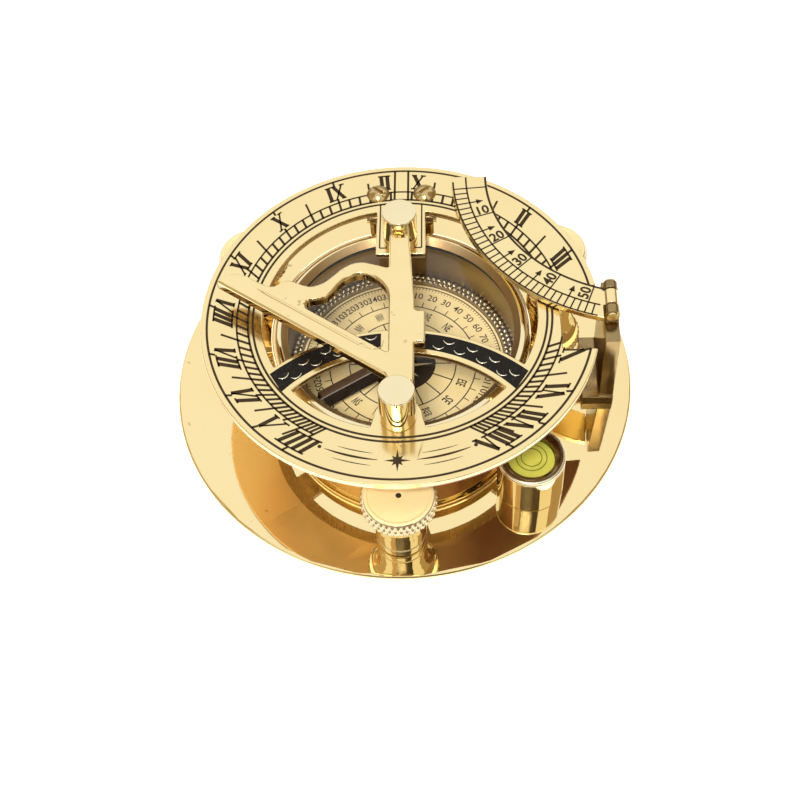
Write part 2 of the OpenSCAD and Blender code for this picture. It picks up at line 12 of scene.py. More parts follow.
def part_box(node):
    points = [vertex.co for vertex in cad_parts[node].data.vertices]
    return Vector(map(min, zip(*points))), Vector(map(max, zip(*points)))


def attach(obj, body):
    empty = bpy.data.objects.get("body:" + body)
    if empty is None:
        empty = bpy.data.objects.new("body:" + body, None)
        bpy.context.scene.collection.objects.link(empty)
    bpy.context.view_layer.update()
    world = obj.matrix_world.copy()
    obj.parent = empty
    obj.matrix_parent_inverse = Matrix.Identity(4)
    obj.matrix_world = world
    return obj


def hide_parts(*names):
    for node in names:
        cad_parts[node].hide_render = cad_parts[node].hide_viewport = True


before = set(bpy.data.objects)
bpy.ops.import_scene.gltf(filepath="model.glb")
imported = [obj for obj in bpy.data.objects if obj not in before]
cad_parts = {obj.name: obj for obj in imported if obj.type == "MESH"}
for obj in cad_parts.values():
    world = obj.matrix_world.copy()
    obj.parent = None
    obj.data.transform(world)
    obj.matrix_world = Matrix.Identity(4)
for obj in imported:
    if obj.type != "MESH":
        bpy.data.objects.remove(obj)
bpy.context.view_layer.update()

bl_info = {
    "name": "Sundial Compass",
    "version": (1, 0, 0),
    "blender": (4, 5, 0),
    "location": "3D View > Sidebar > Sundial",
    "description": "Builds the dial, the compass works and the finishes of a brass sundial compass",
    "category": "Add Mesh",
}

MM = 0.001
SCREWS = ("front", "right", "left")


def corners(node):
    """Lowest and highest corner of a CAD node, in millimetres."""
    low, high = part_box(node)
    return np.array(low) / MM, np.array(high) / MM


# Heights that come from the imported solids

RING_TOP = corners("hinge_leaf")[1][2] + 2.0
ARC_TOP = RING_TOP + 2.3
DECK = corners("base_plate")[1][2]
CARD_TOP = corners("compass_card")[1][2]
SCREW_TIP, SCREW_TOP = (corner[2] for corner in corners("levelling_screw_front"))
# Between these heights the gnomon's sides and underside are painted brown as shade.
GNOMON_SHADE_HEIGHTS = (RING_TOP + 0.7, corners("gnomon")[1][2] - 1.0)
DRUM_WALL = corners("glass_gasket")[1][0] + 0.4
PAINT_FOOT = 0.02


# Sizes and colours that a user would change


def length(name, description, millimetres, **limits):
    """A length, its default in millimetres and its limits in metres."""
    return FloatProperty(name=name, description=description, default=millimetres * MM,
                         subtype="DISTANCE", unit="LENGTH", **limits)


def angle(name, description, degrees):
    """An angle, its default in degrees."""
    return FloatProperty(name=name, description=description, default=math.radians(degrees),
                         subtype="ANGLE", unit="ROTATION")


def colour(name, description, default):
    """A colour, in linear red, green and blue."""
    return FloatVectorProperty(name=name, description=description, default=default, subtype="COLOR")


class DialSizes(bpy.types.PropertyGroup):
    """Sizes of the engraving on the hour ring and the latitude arc."""
    line: length("Line width", "Width of the circles and hour lines", 0.62, min=0.0001, max=0.001)
    proud: length("Paint height", "How far the paint stands above the brass", 0.03, min=0.00001, max=0.0001)
    numeral_foot: length("Numeral foot", "Radius of the foot of the hour numerals", 50.2)
    numeral_height: length("Numeral height", "Height of the hour numerals", 5.6)
    thick: length("Thick stroke", "Width of a numeral's thick strokes", 1.1)
    thin: length("Thin stroke", "Width of a numeral's thin strokes and serifs", 0.5)
    arc_digits: length("Arc digits", "Height of the latitude arc's figures", 2.9)


class WorksSizes(bpy.types.PropertyGroup):
    """Sizes of the screws, the card's print and the milled ring."""
    teeth: IntProperty(name="Teeth", description="Teeth in each row round a levelling screw's head",
                       default=40, min=12, max=80)
    tooth: length("Tooth depth", "Depth of those teeth", 0.5)
    beads: IntProperty(name="Beads", description="Beads in each row of the milled ring",
                       default=120, min=40, max=160)
    card_digits: length("Card figures", "Height of the degree figures on the card", 2.1)


class FinishColours(bpy.types.PropertyGroup):
    """Colours of the finishes."""
    light: colour("Brass", "Polished brass", (0.98, 0.82, 0.45))
    warm: colour("Warm brass", "Brass where the polish is older", (0.94, 0.73, 0.35))
    tarnish: colour("Tarnish", "Brown tarnish in corners", (0.2, 0.115, 0.055))
    # Pale end of the painted shade under the hour ring; dial_brass darkens it towards the right.
    under: colour("Underside", "Brown brass under the hour ring", (0.9, 0.7, 0.47))
    ink: colour("Engraving paint", "Paint in the engraving", (0.04, 0.025, 0.011))
    enamel: colour("Enamel", "Black enamel on the cross band", (0.01, 0.008, 0.006))
    paper: colour("Card", "Paper of the compass card", (0.97, 0.79, 0.42))
    liquid: colour("Level liquid", "Liquid in the spirit level", (0.62, 0.59, 0.11))


class StageSettings(bpy.types.PropertyGroup):
    """The camera and the light."""
    azimuth: angle("Azimuth", "Camera's turn round the dial from the front", 4.0)
    elevation: angle("Elevation", "Camera's angle above the table", 55.6756)
    roll: angle("Roll", "Camera's roll about its line of sight", -4.02)
    distance: length("Distance", "Camera's distance from its target", 365.4)
    lens: FloatProperty(name="Lens", description="Focal length in millimetres", default=64.26)
    key: FloatProperty(name="Key light", description="Power of the large lamp", default=9.0,
                       subtype="POWER", unit="POWER")
    fill: FloatProperty(name="Fill", description="Strength of the sky on matt surfaces", default=0.38)


# Meshes


def sheet_faces(rows, cols, wrap_rows=False, wrap_cols=False):
    """Four-sided faces of a grid of points, rows by cols, closed round where it wraps."""
    r = np.arange(rows if wrap_rows else rows - 1)[:, None]
    c = np.arange(cols if wrap_cols else cols - 1)[None, :]
    below, beside = (r + 1) % rows, (c + 1) % cols
    quads = np.stack([r * cols + c, r * cols + beside, below * cols + beside, below * cols + c], -1)
    return [tuple(q) for q in quads.reshape(-1, 4).tolist()]


def tube_faces(rows, cols, closed):
    """Faces of a grid that closes across its columns, with an end on its first and last row unless
    they close too."""
    ends = [tuple(range(cols - 1, -1, -1)), tuple(range((rows - 1) * cols, rows * cols))]
    return sheet_faces(rows, cols, closed, True) + ([] if closed else ends)


def joined(parts):
    """Several pairs of points and faces as one pair."""
    points, faces, start = [], [], 0
    for some, their_faces in parts:
        points.append(np.asarray(some, float))
        faces += [tuple(i + start for i in face) for face in their_faces]
        start += len(some)
    return np.concatenate(points), faces


def raised(flat, height):
    """Flat points at a height."""
    return np.concatenate([flat, np.full(flat.shape[:-1] + (1,), float(height))], -1)


def bearing(turn, radius=1.0):
    """Points at a radius, their turn in radians clockwise from +Y: x is the radius times the sine of the
    turn, y the radius times its cosine."""
    return np.stack([radius * np.sin(turn), radius * np.cos(turn)], -1)


def spun(flat, turn):
    """Flat points turned about the origin."""
    c, s = math.cos(turn), math.sin(turn)
    return flat @ np.array([[c, s], [-s, c]])


def circle(radius, centre=(0, 0), start=0.0, end=360.0, steps=360):
    """Points of a circle or of a part of it, the angle in degrees from +X."""
    whole = abs(end - start) >= 360
    t = np.radians(np.linspace(start, end, steps, endpoint=not whole))
    return np.stack([centre[0] + radius * np.cos(t), centre[1] + radius * np.sin(t)], 1)


def turned(profile, centre, segments=96, closed=False, ripple=None):
    """A profile of radius and height turned about a vertical axis: x is the radius times the cosine of
    the turn, y the radius times its sine. ripple gives a radius and a height to add at each row and turn."""
    profile = np.asarray(profile, float)
    turn = np.linspace(0, 2 * math.pi, segments, endpoint=False)
    radius, height = (np.repeat(profile[:, axis:axis + 1], segments, 1) for axis in (0, 1))
    if ripple is not None:
        more, rise = ripple(profile, turn)
        radius, height = radius + more, height + rise
    points = np.stack([centre[0] + radius * np.cos(turn), centre[1] + radius * np.sin(turn), height], -1)
    return points.reshape(-1, 3), tube_faces(len(profile), segments, closed)


def rounded(profile, radius, steps=4):
    """A profile with its corners cut back by a radius and joined by parabolas through the corner's pull:
    each point is the blend (1-t) squared, 2t(1-t) and t squared of entry, corner and exit."""
    p = np.asarray([q[:2] for q in profile], float)
    radii = [q[2] if len(q) > 2 else radius for q in profile]
    out = [p[:1]]
    t = np.linspace(0, 1, steps + 1)[:, None]
    for before, corner, after, r in zip(p[:-2], p[1:-1], p[2:], radii[1:-1]):
        a, b = before - corner, after - corner
        r = min(r, 0.49 * np.linalg.norm(a), 0.49 * np.linalg.norm(b))
        enter, leave = corner + a / np.linalg.norm(a) * r, corner + b / np.linalg.norm(b) * r
        out.append((1 - t) ** 2 * enter + 2 * t * (1 - t) * corner + t ** 2 * leave)
    return np.concatenate(out + [p[-1:]])


def swept(path, section, closed=False, scale=1.0):
    """A closed section of across and height values carried along a flat path: a point is the path's
    point plus the path's left normal times the across value, at the section's height."""
    path, section = np.asarray(path, float), np.asarray(section, float)
    ahead = np.roll(path, -1, 0) - np.roll(path, 1, 0) if closed else np.gradient(path, axis=0)
    ahead /= np.linalg.norm(ahead, axis=1, keepdims=True)
    left = np.stack([-ahead[:, 1], ahead[:, 0]], 1)
    across = section[None, :, 0] * (np.ones(len(path)) * scale)[:, None]
    flat = path[:, None, :] + left[:, None, :] * across[:, :, None]
    height = np.broadcast_to(section[None, :, 1], across.shape)
    points = np.concatenate([flat, height[:, :, None]], 2)
    return points.reshape(-1, 3), tube_faces(*across.shape, closed)


def strip(width, low, high):
    """The section of a flat line of paint."""
    return [(-width / 2, low), (width / 2, low), (width / 2, high), (-width / 2, high)]


def bead(width, low, high, steps=8):
    """The section of a bead: half an ellipse on a flat foot."""
    t = np.linspace(0, math.pi, steps)
    return np.stack([np.cos(t) * width / 2, low + np.sin(t) * (high - low)], 1)


def bars(starts, ends, widths, low, high):
    """Closed boxes along straight lines: a corner is an end plus or minus half the width times the
    line's normal."""
    a, b = np.asarray(starts, float), np.asarray(ends, float)
    ahead = (b - a) / np.linalg.norm(b - a, axis=1, keepdims=True)
    side = np.stack([-ahead[:, 1], ahead[:, 0]], 1) * (np.broadcast_to(widths, len(a)) / 2)[:, None]
    flat = np.stack([a - side, b - side, b + side, a + side], 1)
    points = np.concatenate([raised(flat, low), raised(flat, high)], 1).reshape(-1, 3)
    box = np.array([[0, 3, 2, 1], [4, 5, 6, 7], [0, 1, 5, 4], [1, 2, 6, 5], [2, 3, 7, 6], [3, 0, 4, 7]])
    faces = (box[None] + 8 * np.arange(len(a))[:, None, None]).reshape(-1, 4)
    return points, [tuple(f) for f in faces.tolist()]


def spokes(count, offset, inner, outer, width, low, high):
    """Straight lines from one radius to another at even bearings."""
    out = bearing(np.radians(np.arange(count) * 360.0 / count + offset))
    return bars(out * inner, out * outer, width, low, high)


def prism(outline, low, high):
    """A flat outline, counter-clockwise, given a thickness."""
    outline = np.asarray(outline, float)
    n = len(outline)
    i = np.arange(n)
    sides = np.stack([i, (i + 1) % n, (i + 1) % n + n, i + n], 1).tolist()
    return (np.concatenate([raised(outline, low), raised(outline, high)]),
            [tuple(range(n - 1, -1, -1)), tuple(range(n, 2 * n))] + [tuple(s) for s in sides])


def slab(upper, under):
    """Two like grids of points, one above the other, joined round their edges into a closed solid. Seen
    from above, each row lies to the left of the one before it, looking along the row."""
    rows, cols = upper.shape[:2]
    n = rows * cols
    quads = sheet_faces(rows, cols)
    index = np.arange(n).reshape(rows, cols)
    edge = np.concatenate([index[0], index[1:, -1], index[-1, -2::-1], index[-2:0:-1, 0]]).tolist()
    sides = [(b, a, a + n, b + n) for a, b in zip(edge, edge[1:] + edge[:1])]
    faces = quads + [tuple(i + n for i in face[::-1]) for face in quads] + sides
    return np.concatenate([upper.reshape(-1, 3), under.reshape(-1, 3)]), faces


def letters(text, height, weight=0.0):
    """Built-in letters as flat closed meshes: points centred on the text, and their faces, with the
    foot of the text at zero."""
    curve = bpy.data.curves.new("letters", "FONT")
    curve.body = text
    curve.size = height / 0.72
    curve.offset = weight
    curve.align_x = "CENTER"
    curve.resolution_u = 3
    curve.extrude = 0.5
    holder = bpy.data.objects.new("letters", curve)
    bpy.context.scene.collection.objects.link(holder)
    shape = bpy.data.meshes.new_from_object(holder.evaluated_get(bpy.context.evaluated_depsgraph_get()))
    bpy.data.objects.remove(holder)
    bpy.data.curves.remove(curve)
    work = bmesh.new()
    work.from_mesh(shape)
    bmesh.ops.remove_doubles(work, verts=work.verts, dist=1e-5)
    work.to_mesh(shape)
    work.free()
    points = np.zeros(len(shape.vertices) * 3, np.float32)
    shape.vertices.foreach_get("co", points)
    faces = [tuple(f.vertices) for f in shape.polygons]
    bpy.data.meshes.remove(shape)
    return points.reshape(-1, 3).astype(float), faces


def written(text, place, right, height, low, high, weight=0.0, width=None):
    """Letters set at a place: right is the unit direction of reading, the foot is at the place, and
    the letters are narrowed to a width where one is given."""
    points, faces = letters(text, height, weight)
    if width:
        points[:, 0] *= width / np.ptp(points[:, 0])
    right = np.asarray(right, float)
    up = np.array([-right[1], right[0]])
    flat = np.asarray(place, float) + np.outer(points[:, 0], right) + np.outer(points[:, 1], up)
    return np.column_stack([flat, np.where(points[:, 2] > 0, high, low)]), faces


# Pieces


def placed(name, mesh, body, node):
    """The object of a finished mesh, riding on a body and standing for a CAD node where one is given."""
    piece = bpy.data.objects.new(name, mesh)
    bpy.context.scene.collection.objects.link(piece)
    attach(piece, body)
    if node:
        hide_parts(node)
    return piece


def new_piece(name, made, body, looks, sharp=30, kinds=None, node=None):
    """Puts points in millimetres and their faces into a mesh in place. looks names its finishes, and
    kinds says which of them each face has."""
    points, faces = made
    mesh = bpy.data.meshes.new(name)
    mesh.from_pydata((np.asarray(points, float) * MM).tolist(), [], faces)
    mesh.validate()
    for look in looks.split():
        mesh.materials.append(finish(look))
    if kinds is not None:
        mesh.polygons.foreach_set("material_index", np.asarray(kinds, np.int32))
    mesh.polygons.foreach_set("use_smooth", np.full(len(mesh.polygons), sharp > 0))
    if sharp > 0:
        mesh.set_sharp_from_angle(angle=math.radians(sharp))
    mesh.update()
    return placed(name, mesh, body, node)


def softened(name, node, body, look, width, segments=3, sharp=32):
    """A copy of a CAD node with its triangles joined and its edges eased by a Bevel modifier."""
    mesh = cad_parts[node].data.copy()
    mesh.name = name
    work = bmesh.new()
    work.from_mesh(mesh)
    bmesh.ops.remove_doubles(work, verts=work.verts, dist=2e-6)
    bmesh.ops.dissolve_limit(work, angle_limit=math.radians(0.7), verts=work.verts, edges=work.edges)
    bmesh.ops.recalc_face_normals(work, faces=work.faces)
    work.to_mesh(mesh)
    work.free()
    mesh.materials.clear()
    mesh.materials.append(finish(look))
    mesh.polygons.foreach_set("use_smooth", np.full(len(mesh.polygons), True))
    mesh.set_sharp_from_angle(angle=math.radians(sharp))
    mesh.update()
    ease = placed(name, mesh, body, node).modifiers.new("Eased edges", "BEVEL")
    ease.width, ease.segments = width * MM, segments
    ease.limit_method, ease.angle_limit = "ANGLE", math.radians(sharp)
    ease.harden_normals, ease.use_clamp_overlap = True, False
    ease.miter_outer = "MITER_ARC"


def dress(node, look):
    """Gives a CAD node that is shown as it is a finish."""
    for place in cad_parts[node].material_slots:
        place.material = finish(look)


# Finishes


class Socket:
    """A shader socket that takes part in sums: each operator adds a Math node."""

    def __init__(self, finish, socket):
        self.finish, self.socket = finish, socket

    def math(self, operation, a, b):
        return self.finish.node("Math", {0: a, 1: b}, operation=operation)

    def held(self):
        """The value kept between 0 and 1."""
        return self.finish.node("Clamp", {"Value": self})


ARITHMETIC = {"add": "ADD", "sub": "SUBTRACT", "mul": "MULTIPLY", "truediv": "DIVIDE", "pow": "POWER"}
for sign, operation in {**ARITHMETIC, "gt": "GREATER_THAN", "lt": "LESS_THAN"}.items():
    setattr(Socket, f"__{sign}__", lambda a, b, kind=operation: a.math(kind, a, b))
for sign, operation in ARITHMETIC.items():
    setattr(Socket, f"__r{sign}__", lambda a, b, kind=operation: a.math(kind, b, a))


class Finish:
    """The nodes of a new material, or of the world, under construction."""

    def __init__(self, name, world=None):
        self.material = world or bpy.data.materials.new(name)
        self.material.use_nodes = True
        self.tree = self.material.node_tree
        self.tree.nodes.clear()

    def put(self, socket, value):
        if isinstance(value, Socket):
            self.tree.links.new(value.socket, socket)
        elif socket.type == "RGBA":
            socket.default_value = (*value, 1.0)
        else:
            socket.default_value = value

    def node(self, kind, inputs, output=0, **settings):
        """A node of a type, its settings first, then its sockets' values or links."""
        made = self.tree.nodes.new("ShaderNode" + kind)
        for key, value in settings.items():
            setattr(made, key, value)
        for key, value in inputs.items():
            self.put(made.inputs[key], value)
        return Socket(self, made.outputs[output]) if len(made.outputs) else None

    def place(self, scale=(1, 1, 1), turn=(0, 0, 0)):
        """Object coordinates, stretched and turned."""
        here = self.node("TexCoord", {}, "Object")
        return self.node("Mapping", {"Vector": here, "Scale": scale, "Rotation": turn})

    def along(self, axis):
        """One of the object coordinates, in millimetres."""
        return self.node("SeparateXYZ", {"Vector": self.place()}, axis) * 1000.0

    def radius(self):
        """The square root of x squared plus y squared, in millimetres."""
        x, y = self.along(0), self.along(1)
        return (x * x + y * y) ** 0.5

    def noise(self, scale, detail=2.0, roughness=0.5, vector=None):
        """Smooth noise between 0 and 1."""
        return self.node("TexNoise", {"Vector": vector or self.place(), "Scale": scale,
                                      "Detail": detail, "Roughness": roughness})

    def patches(self, scale, detail, roughness, cut, gain):
        """Noise less a cut, times a gain, kept between 0 and 1: patches with softer or harder edges."""
        return ((self.noise(scale, detail, roughness) - cut) * gain).held()

    def mix(self, factor, a, b):
        """A colour between two."""
        return self.node("Mix", {0: factor, 6: a, 7: b}, 2, data_type="RGBA")

    def bump(self, height, strength, distance):
        return self.node("Bump", {"Height": height, "Strength": strength, "Distance": distance * MM})

    def seen(self):
        """1 for rays from the camera, from mirrors and through glass, and 0 for others."""
        kinds = ("Is Camera Ray", "Is Glossy Ray", "Is Transmission Ray")
        camera, glossy, through = (self.node("LightPath", {}, kind) for kind in kinds)
        return (camera + glossy + through).held()

    def surface(self, **sockets):
        """Finishes with one Principled shader."""
        names = {key.replace("_", " ").title().replace("Ior", "IOR"): value for key, value in sockets.items()}
        return self.shown(self.node("BsdfPrincipled", names))

    def shown(self, shader):
        self.node("OutputMaterial", {"Surface": shader})
        return self.material

    def buffed(self, base_color, roughness, wave, metallic=1.0):
        """Finishes as buffed metal: hairlines from the wheel and smudges roughen it here and there, and a
        faint waviness bends what it mirrors."""
        hairs = (self.noise(1.0, 2.0, 0.6, self.place((2600, 90, 300), (0.3, 0.2, 0.6))) ** 5.0) * 3.0
        smudge = self.patches(95.0, 4.0, 0.65, 0.52, 3.2)
        return self.surface(base_color=base_color, metallic=metallic,
                            roughness=(hairs * 0.05 + smudge * 0.05 + roughness).held(),
                            normal=self.bump(self.noise(150.0, 2.0, 0.5) + hairs * 0.1, wave, 0.6))


def tone(name):
    """One of the colours that a user would change."""
    return tuple(getattr(bpy.context.scene.sundial_colours, name))


# Brown of the pits, and of the painted shade on the gnomon's sides and underside.
BROWN = (0.5, 0.36, 0.18)


def polished_brass(name, roughness, scale, wave, tones=None, tarnish=None, shade_heights=None, metal=1.0,
                   pits=None):
    """Polished brass: its colour drifts between two tones. It is painted brown as shade between two heights
    in millimetres, or has tarnish where a noise spreads it. Pits are small brown specks, fewer at a low
    value."""
    f = Finish(name)
    base = f.mix(f.noise(scale, 3.0, 0.6), *(tones or (tone("light"), tone("warm"))))
    if shade_heights:
        height = f.along(2)
        # Painted shade: brown between the two heights.
        base = f.mix((height < shade_heights[1]) * (height > shade_heights[0]), base, BROWN)
    elif tarnish is not None:
        base = f.mix(f.patches(170.0, 4.0, 0.7, 0.62 - tarnish, 4.0), base, tone("tarnish"))
    if pits:
        base = f.mix(f.patches(330.0, 2.0, 0.5, 0.76 - pits * 0.06, 14.0) * 0.7, base, BROWN)
    return f.buffed(base, roughness, wave, metal)


BRASSES = {
    "turned_brass": dict(tones=((0.96, 0.84, 0.55), (0.9, 0.76, 0.45)), roughness=0.06, scale=60.0,
                         wave=0.02),
    "mirror_brass": dict(roughness=0.015, scale=25.0, wave=0.01, pits=0.6),
    "satin_brass": dict(roughness=0.4, scale=80.0, wave=0.2, metal=0.35),
    "cast_brass": dict(roughness=0.09, scale=90.0, wave=0.08, shade_heights=GNOMON_SHADE_HEIGHTS, pits=1.0),
    "aged_brass": dict(tones=((0.46, 0.33, 0.15), (0.24, 0.165, 0.07)), roughness=0.16, scale=110.0,
                       wave=0.12, tarnish=0.12),
    "worn_brass": dict(tones=((0.74, 0.57, 0.27), (0.5, 0.36, 0.16)), roughness=0.14, scale=160.0,
                       wave=0.12, tarnish=0.04),
    # Painted shade: the milled ring's beads are dark grey-brown.
    "bead_brass": dict(tones=((0.44, 0.37, 0.25), (0.3, 0.24, 0.15)), roughness=0.34, scale=200.0,
                       wave=0.05, tarnish=0.0),
    # Painted shade: the bezel's inner slope is dark brown.
    "bevel_brass": dict(tones=((0.52, 0.37, 0.19), (0.38, 0.26, 0.13)), roughness=0.3, scale=120.0,
                        wave=0.05),
    # Painted shade: the knurled teeth are greyer and darker than the head.
    "tooth_brass": dict(tones=((0.7, 0.59, 0.38), (0.52, 0.42, 0.25)), roughness=0.24, scale=200.0,
                        wave=0.05, tarnish=0.0),
    "pale_brass": dict(tones=((0.9, 0.85, 0.66), (0.8, 0.73, 0.52)), roughness=0.22, scale=200.0, wave=0.05),
}
# Lit and shaded copies of the needle's steel, and a painted highlight for its ridge.
STEELS = {"browned_steel": ((0.2, 0.12, 0.075), 0.25), "blued_steel": ((0.045, 0.032, 0.026), 0.3),
          "bare_steel": ((0.55, 0.5, 0.44), 0.25)}


def dial_brass():
    """The hour ring's brass: polished on top, painted brown as shade on the walls of its openings, and
    painted browner as shade underneath, darker towards the right."""
    f = Finish("dial_brass")
    height = f.along(2)
    # Painted shade: browner under the ring, darker towards the right, and brown on the walls of the openings.
    under = (height < RING_TOP - 1.2) * 1.0
    wall = (f.radius() < 40.2) * (height < RING_TOP - 0.35)
    right = ((f.along(0) + 8.0) / 30.0).held()
    drift = f.noise(30.0, 3.0, 0.6)
    base = f.mix(under, f.mix(drift, tone("light"), tone("warm")),
                 f.mix(right, tone("under"), (0.3, 0.16, 0.11)))
    base = f.mix(wall, base, f.mix(drift, (0.5, 0.35, 0.17), (0.34, 0.22, 0.1)))
    return f.buffed(base, under * 0.05 + wall * 0.06 + 0.15, 0.03, 1.0 - under * 0.45)


def drum_brass():
    """The drum: polished outside; rough inside its wall's radius, and painted dark brown there as shade."""
    f = Finish("drum_brass")
    inside = (f.radius() < DRUM_WALL) * 1.0
    drift = f.noise(40.0, 3.0, 0.6)
    outer = f.mix(f.patches(170.0, 4.0, 0.7, 0.68, 4.0),
                  f.mix(drift, (0.88, 0.79, 0.65), (0.8, 0.69, 0.53)), tone("tarnish"))
    # Painted shade: dark brown inside the drum.
    inner = f.mix(drift, (0.36, 0.27, 0.15), (0.2, 0.14, 0.07))
    return f.surface(base_color=f.mix(inside, outer, inner), metallic=1.0,
                     roughness=(inside * 0.24 + drift * 0.04 + 0.07).held(),
                     normal=f.bump(f.noise(150.0, 2.0, 0.5), 0.05, 0.6))


def engraving_paint():
    """Dark paint rubbed into the engraving, thinner in places so that the edges look soft."""
    f = Finish("engraving_paint")
    thin = f.patches(420.0, 3.0, 0.6, 0.5, 2.5)
    return f.surface(base_color=f.mix(thin, tone("ink"), (0.07, 0.046, 0.022)), specular_ior_level=0.12,
                     roughness=0.5 + thin * 0.2, normal=f.bump(thin, 0.15, 0.05))


def black_enamel():
    """Black stoving enamel with dust and a soft gloss."""
    f = Finish("black_enamel")
    dust = f.patches(900.0, 3.0, 0.7, 0.56, 5.0)
    return f.surface(base_color=f.mix(dust * 0.5, tone("enamel"), (0.06, 0.05, 0.045)),
                     specular_ior_level=0.14, roughness=0.35 + dust * 0.25,
                     normal=f.bump(f.noise(260.0, 2.0), 0.1, 0.1))


def card_paper():
    """Cream card with paper grain and a few older, warmer patches."""
    f = Finish("card_paper")
    grain = f.noise(2600.0, 2.0, 0.6)
    aged = f.mix(f.patches(60.0, 4.0, 0.6, 0.45, 2.0) * 0.5, tone("paper"), (0.8, 0.6, 0.3))
    return f.surface(base_color=f.mix(grain * 0.12, aged, (0.6, 0.48, 0.26)), roughness=0.62,
                     normal=f.bump(grain, 0.2, 0.03))


def printed_ink():
    """Printing ink on the card, a warm black, slightly broken by the grain; also painted shade in slots and
    dimples.
    """
    f = Finish("printed_ink")
    grain = f.patches(1500.0, 2.0, 0.6, 0.5, 3.0)
    return f.surface(base_color=f.mix(grain * 0.5, (0.03, 0.02, 0.014), (0.1, 0.07, 0.04)),
                     specular_ior_level=0.15, roughness=0.55)


def clear_glass():
    """Thin clear glass: see-through, with a reflection that grows towards its edges."""
    f = Finish("clear_glass")
    through = f.node("BsdfTransparent", {"Color": (0.985, 0.98, 0.96)})
    gloss = f.node("BsdfPrincipled", {"Base Color": (0.9, 0.93, 0.92), "Roughness": 0.02,
                                      "Metallic": 1.0})
    share = f.node("Fresnel", {"IOR": 1.42}) * 0.4 + f.patches(700.0, 3.0, 0.7, 0.6, 4.0) * 0.015
    f.material.surface_render_method = "DITHERED"
    return f.shown(f.node("MixShader", {0: share, 1: through, 2: gloss}))


def needle_steel(name, base, roughness):
    """Steel of the needle with fine lengthwise scratches."""
    f = Finish(name)
    hairs = f.noise(1.0, 2.0, 0.6, f.place((1800, 120, 200), (0.0, 0.0, 0.57)))
    return f.surface(base_color=f.mix(hairs * 0.6, base, tuple(0.45 * c for c in base)), metallic=1.0,
                     roughness=roughness + hairs * 0.15, normal=f.bump(hairs, 0.1, 0.05))


def black_rubber():
    """The gasket's rubber."""
    f = Finish("black_rubber")
    grain = f.noise(1400.0, 3.0, 0.6)
    return f.surface(base_color=f.mix(grain, (0.02, 0.019, 0.018), (0.05, 0.046, 0.04)),
                     roughness=0.6 + grain * 0.2, normal=f.bump(grain, 0.2, 0.05))


def level_liquid():
    """Yellow-green liquid with deeper patches, and a painted glow that brightens it."""
    f = Finish("level_liquid")
    deep = f.patches(180.0, 2.0, 0.5, 0.4, 2.0) * 0.6
    # The emission is a painted glow.
    return f.surface(base_color=f.mix(deep, tone("liquid"), (0.25, 0.27, 0.05)), roughness=0.12,
                     coat_weight=0.6, emission_color=(0.35, 0.4, 0.03), emission_strength=0.18)


OTHER_FINISHES = {maker.__name__: maker for maker in (
    dial_brass, drum_brass, engraving_paint, black_enamel, card_paper, printed_ink, clear_glass,
    black_rubber, level_liquid)}
FINISHES = {}


def finish(name):
    """A finish by its name, made the first time it is asked for."""
    if name not in FINISHES:
        if name in BRASSES:
            FINISHES[name] = polished_brass(name, **BRASSES[name])
        elif name in STEELS:
            FINISHES[name] = needle_steel(name, *STEELS[name])
        else:
            FINISHES[name] = OTHER_FINISHES[name]()
    return FINISHES[name]


# The stage

CAMERA_TARGET = Vector((0.00045, -0.02794, 0.03695))
STAGE_CARDS = {  # Turns and rises in degrees, reach in metres, colour
    "dark_card": ((-22, 34), (34, 66), 0.5, (0.075, 0.058, 0.042)),
    "near_card": ((-40, -22), (34, 66), 0.5, (0.62, 0.45, 0.29)),
    "left_card": ((-128, -70), (34, 66), 0.6, (0.55, 0.43, 0.27)),
    "right_card": ((70, 128), (34, 66), 0.6, (0.48, 0.37, 0.23)),
    "low_cards": ((-180, 180), (0, 16), 1.1, (0.3, 0.24, 0.17)),
    "left_wall": ((-125, -8), (16, 34), 1.1, (0.6, 0.48, 0.31)),
    "right_wall": ((-8, 130), (16, 34), 1.1, (0.34, 0.25, 0.16)),
}


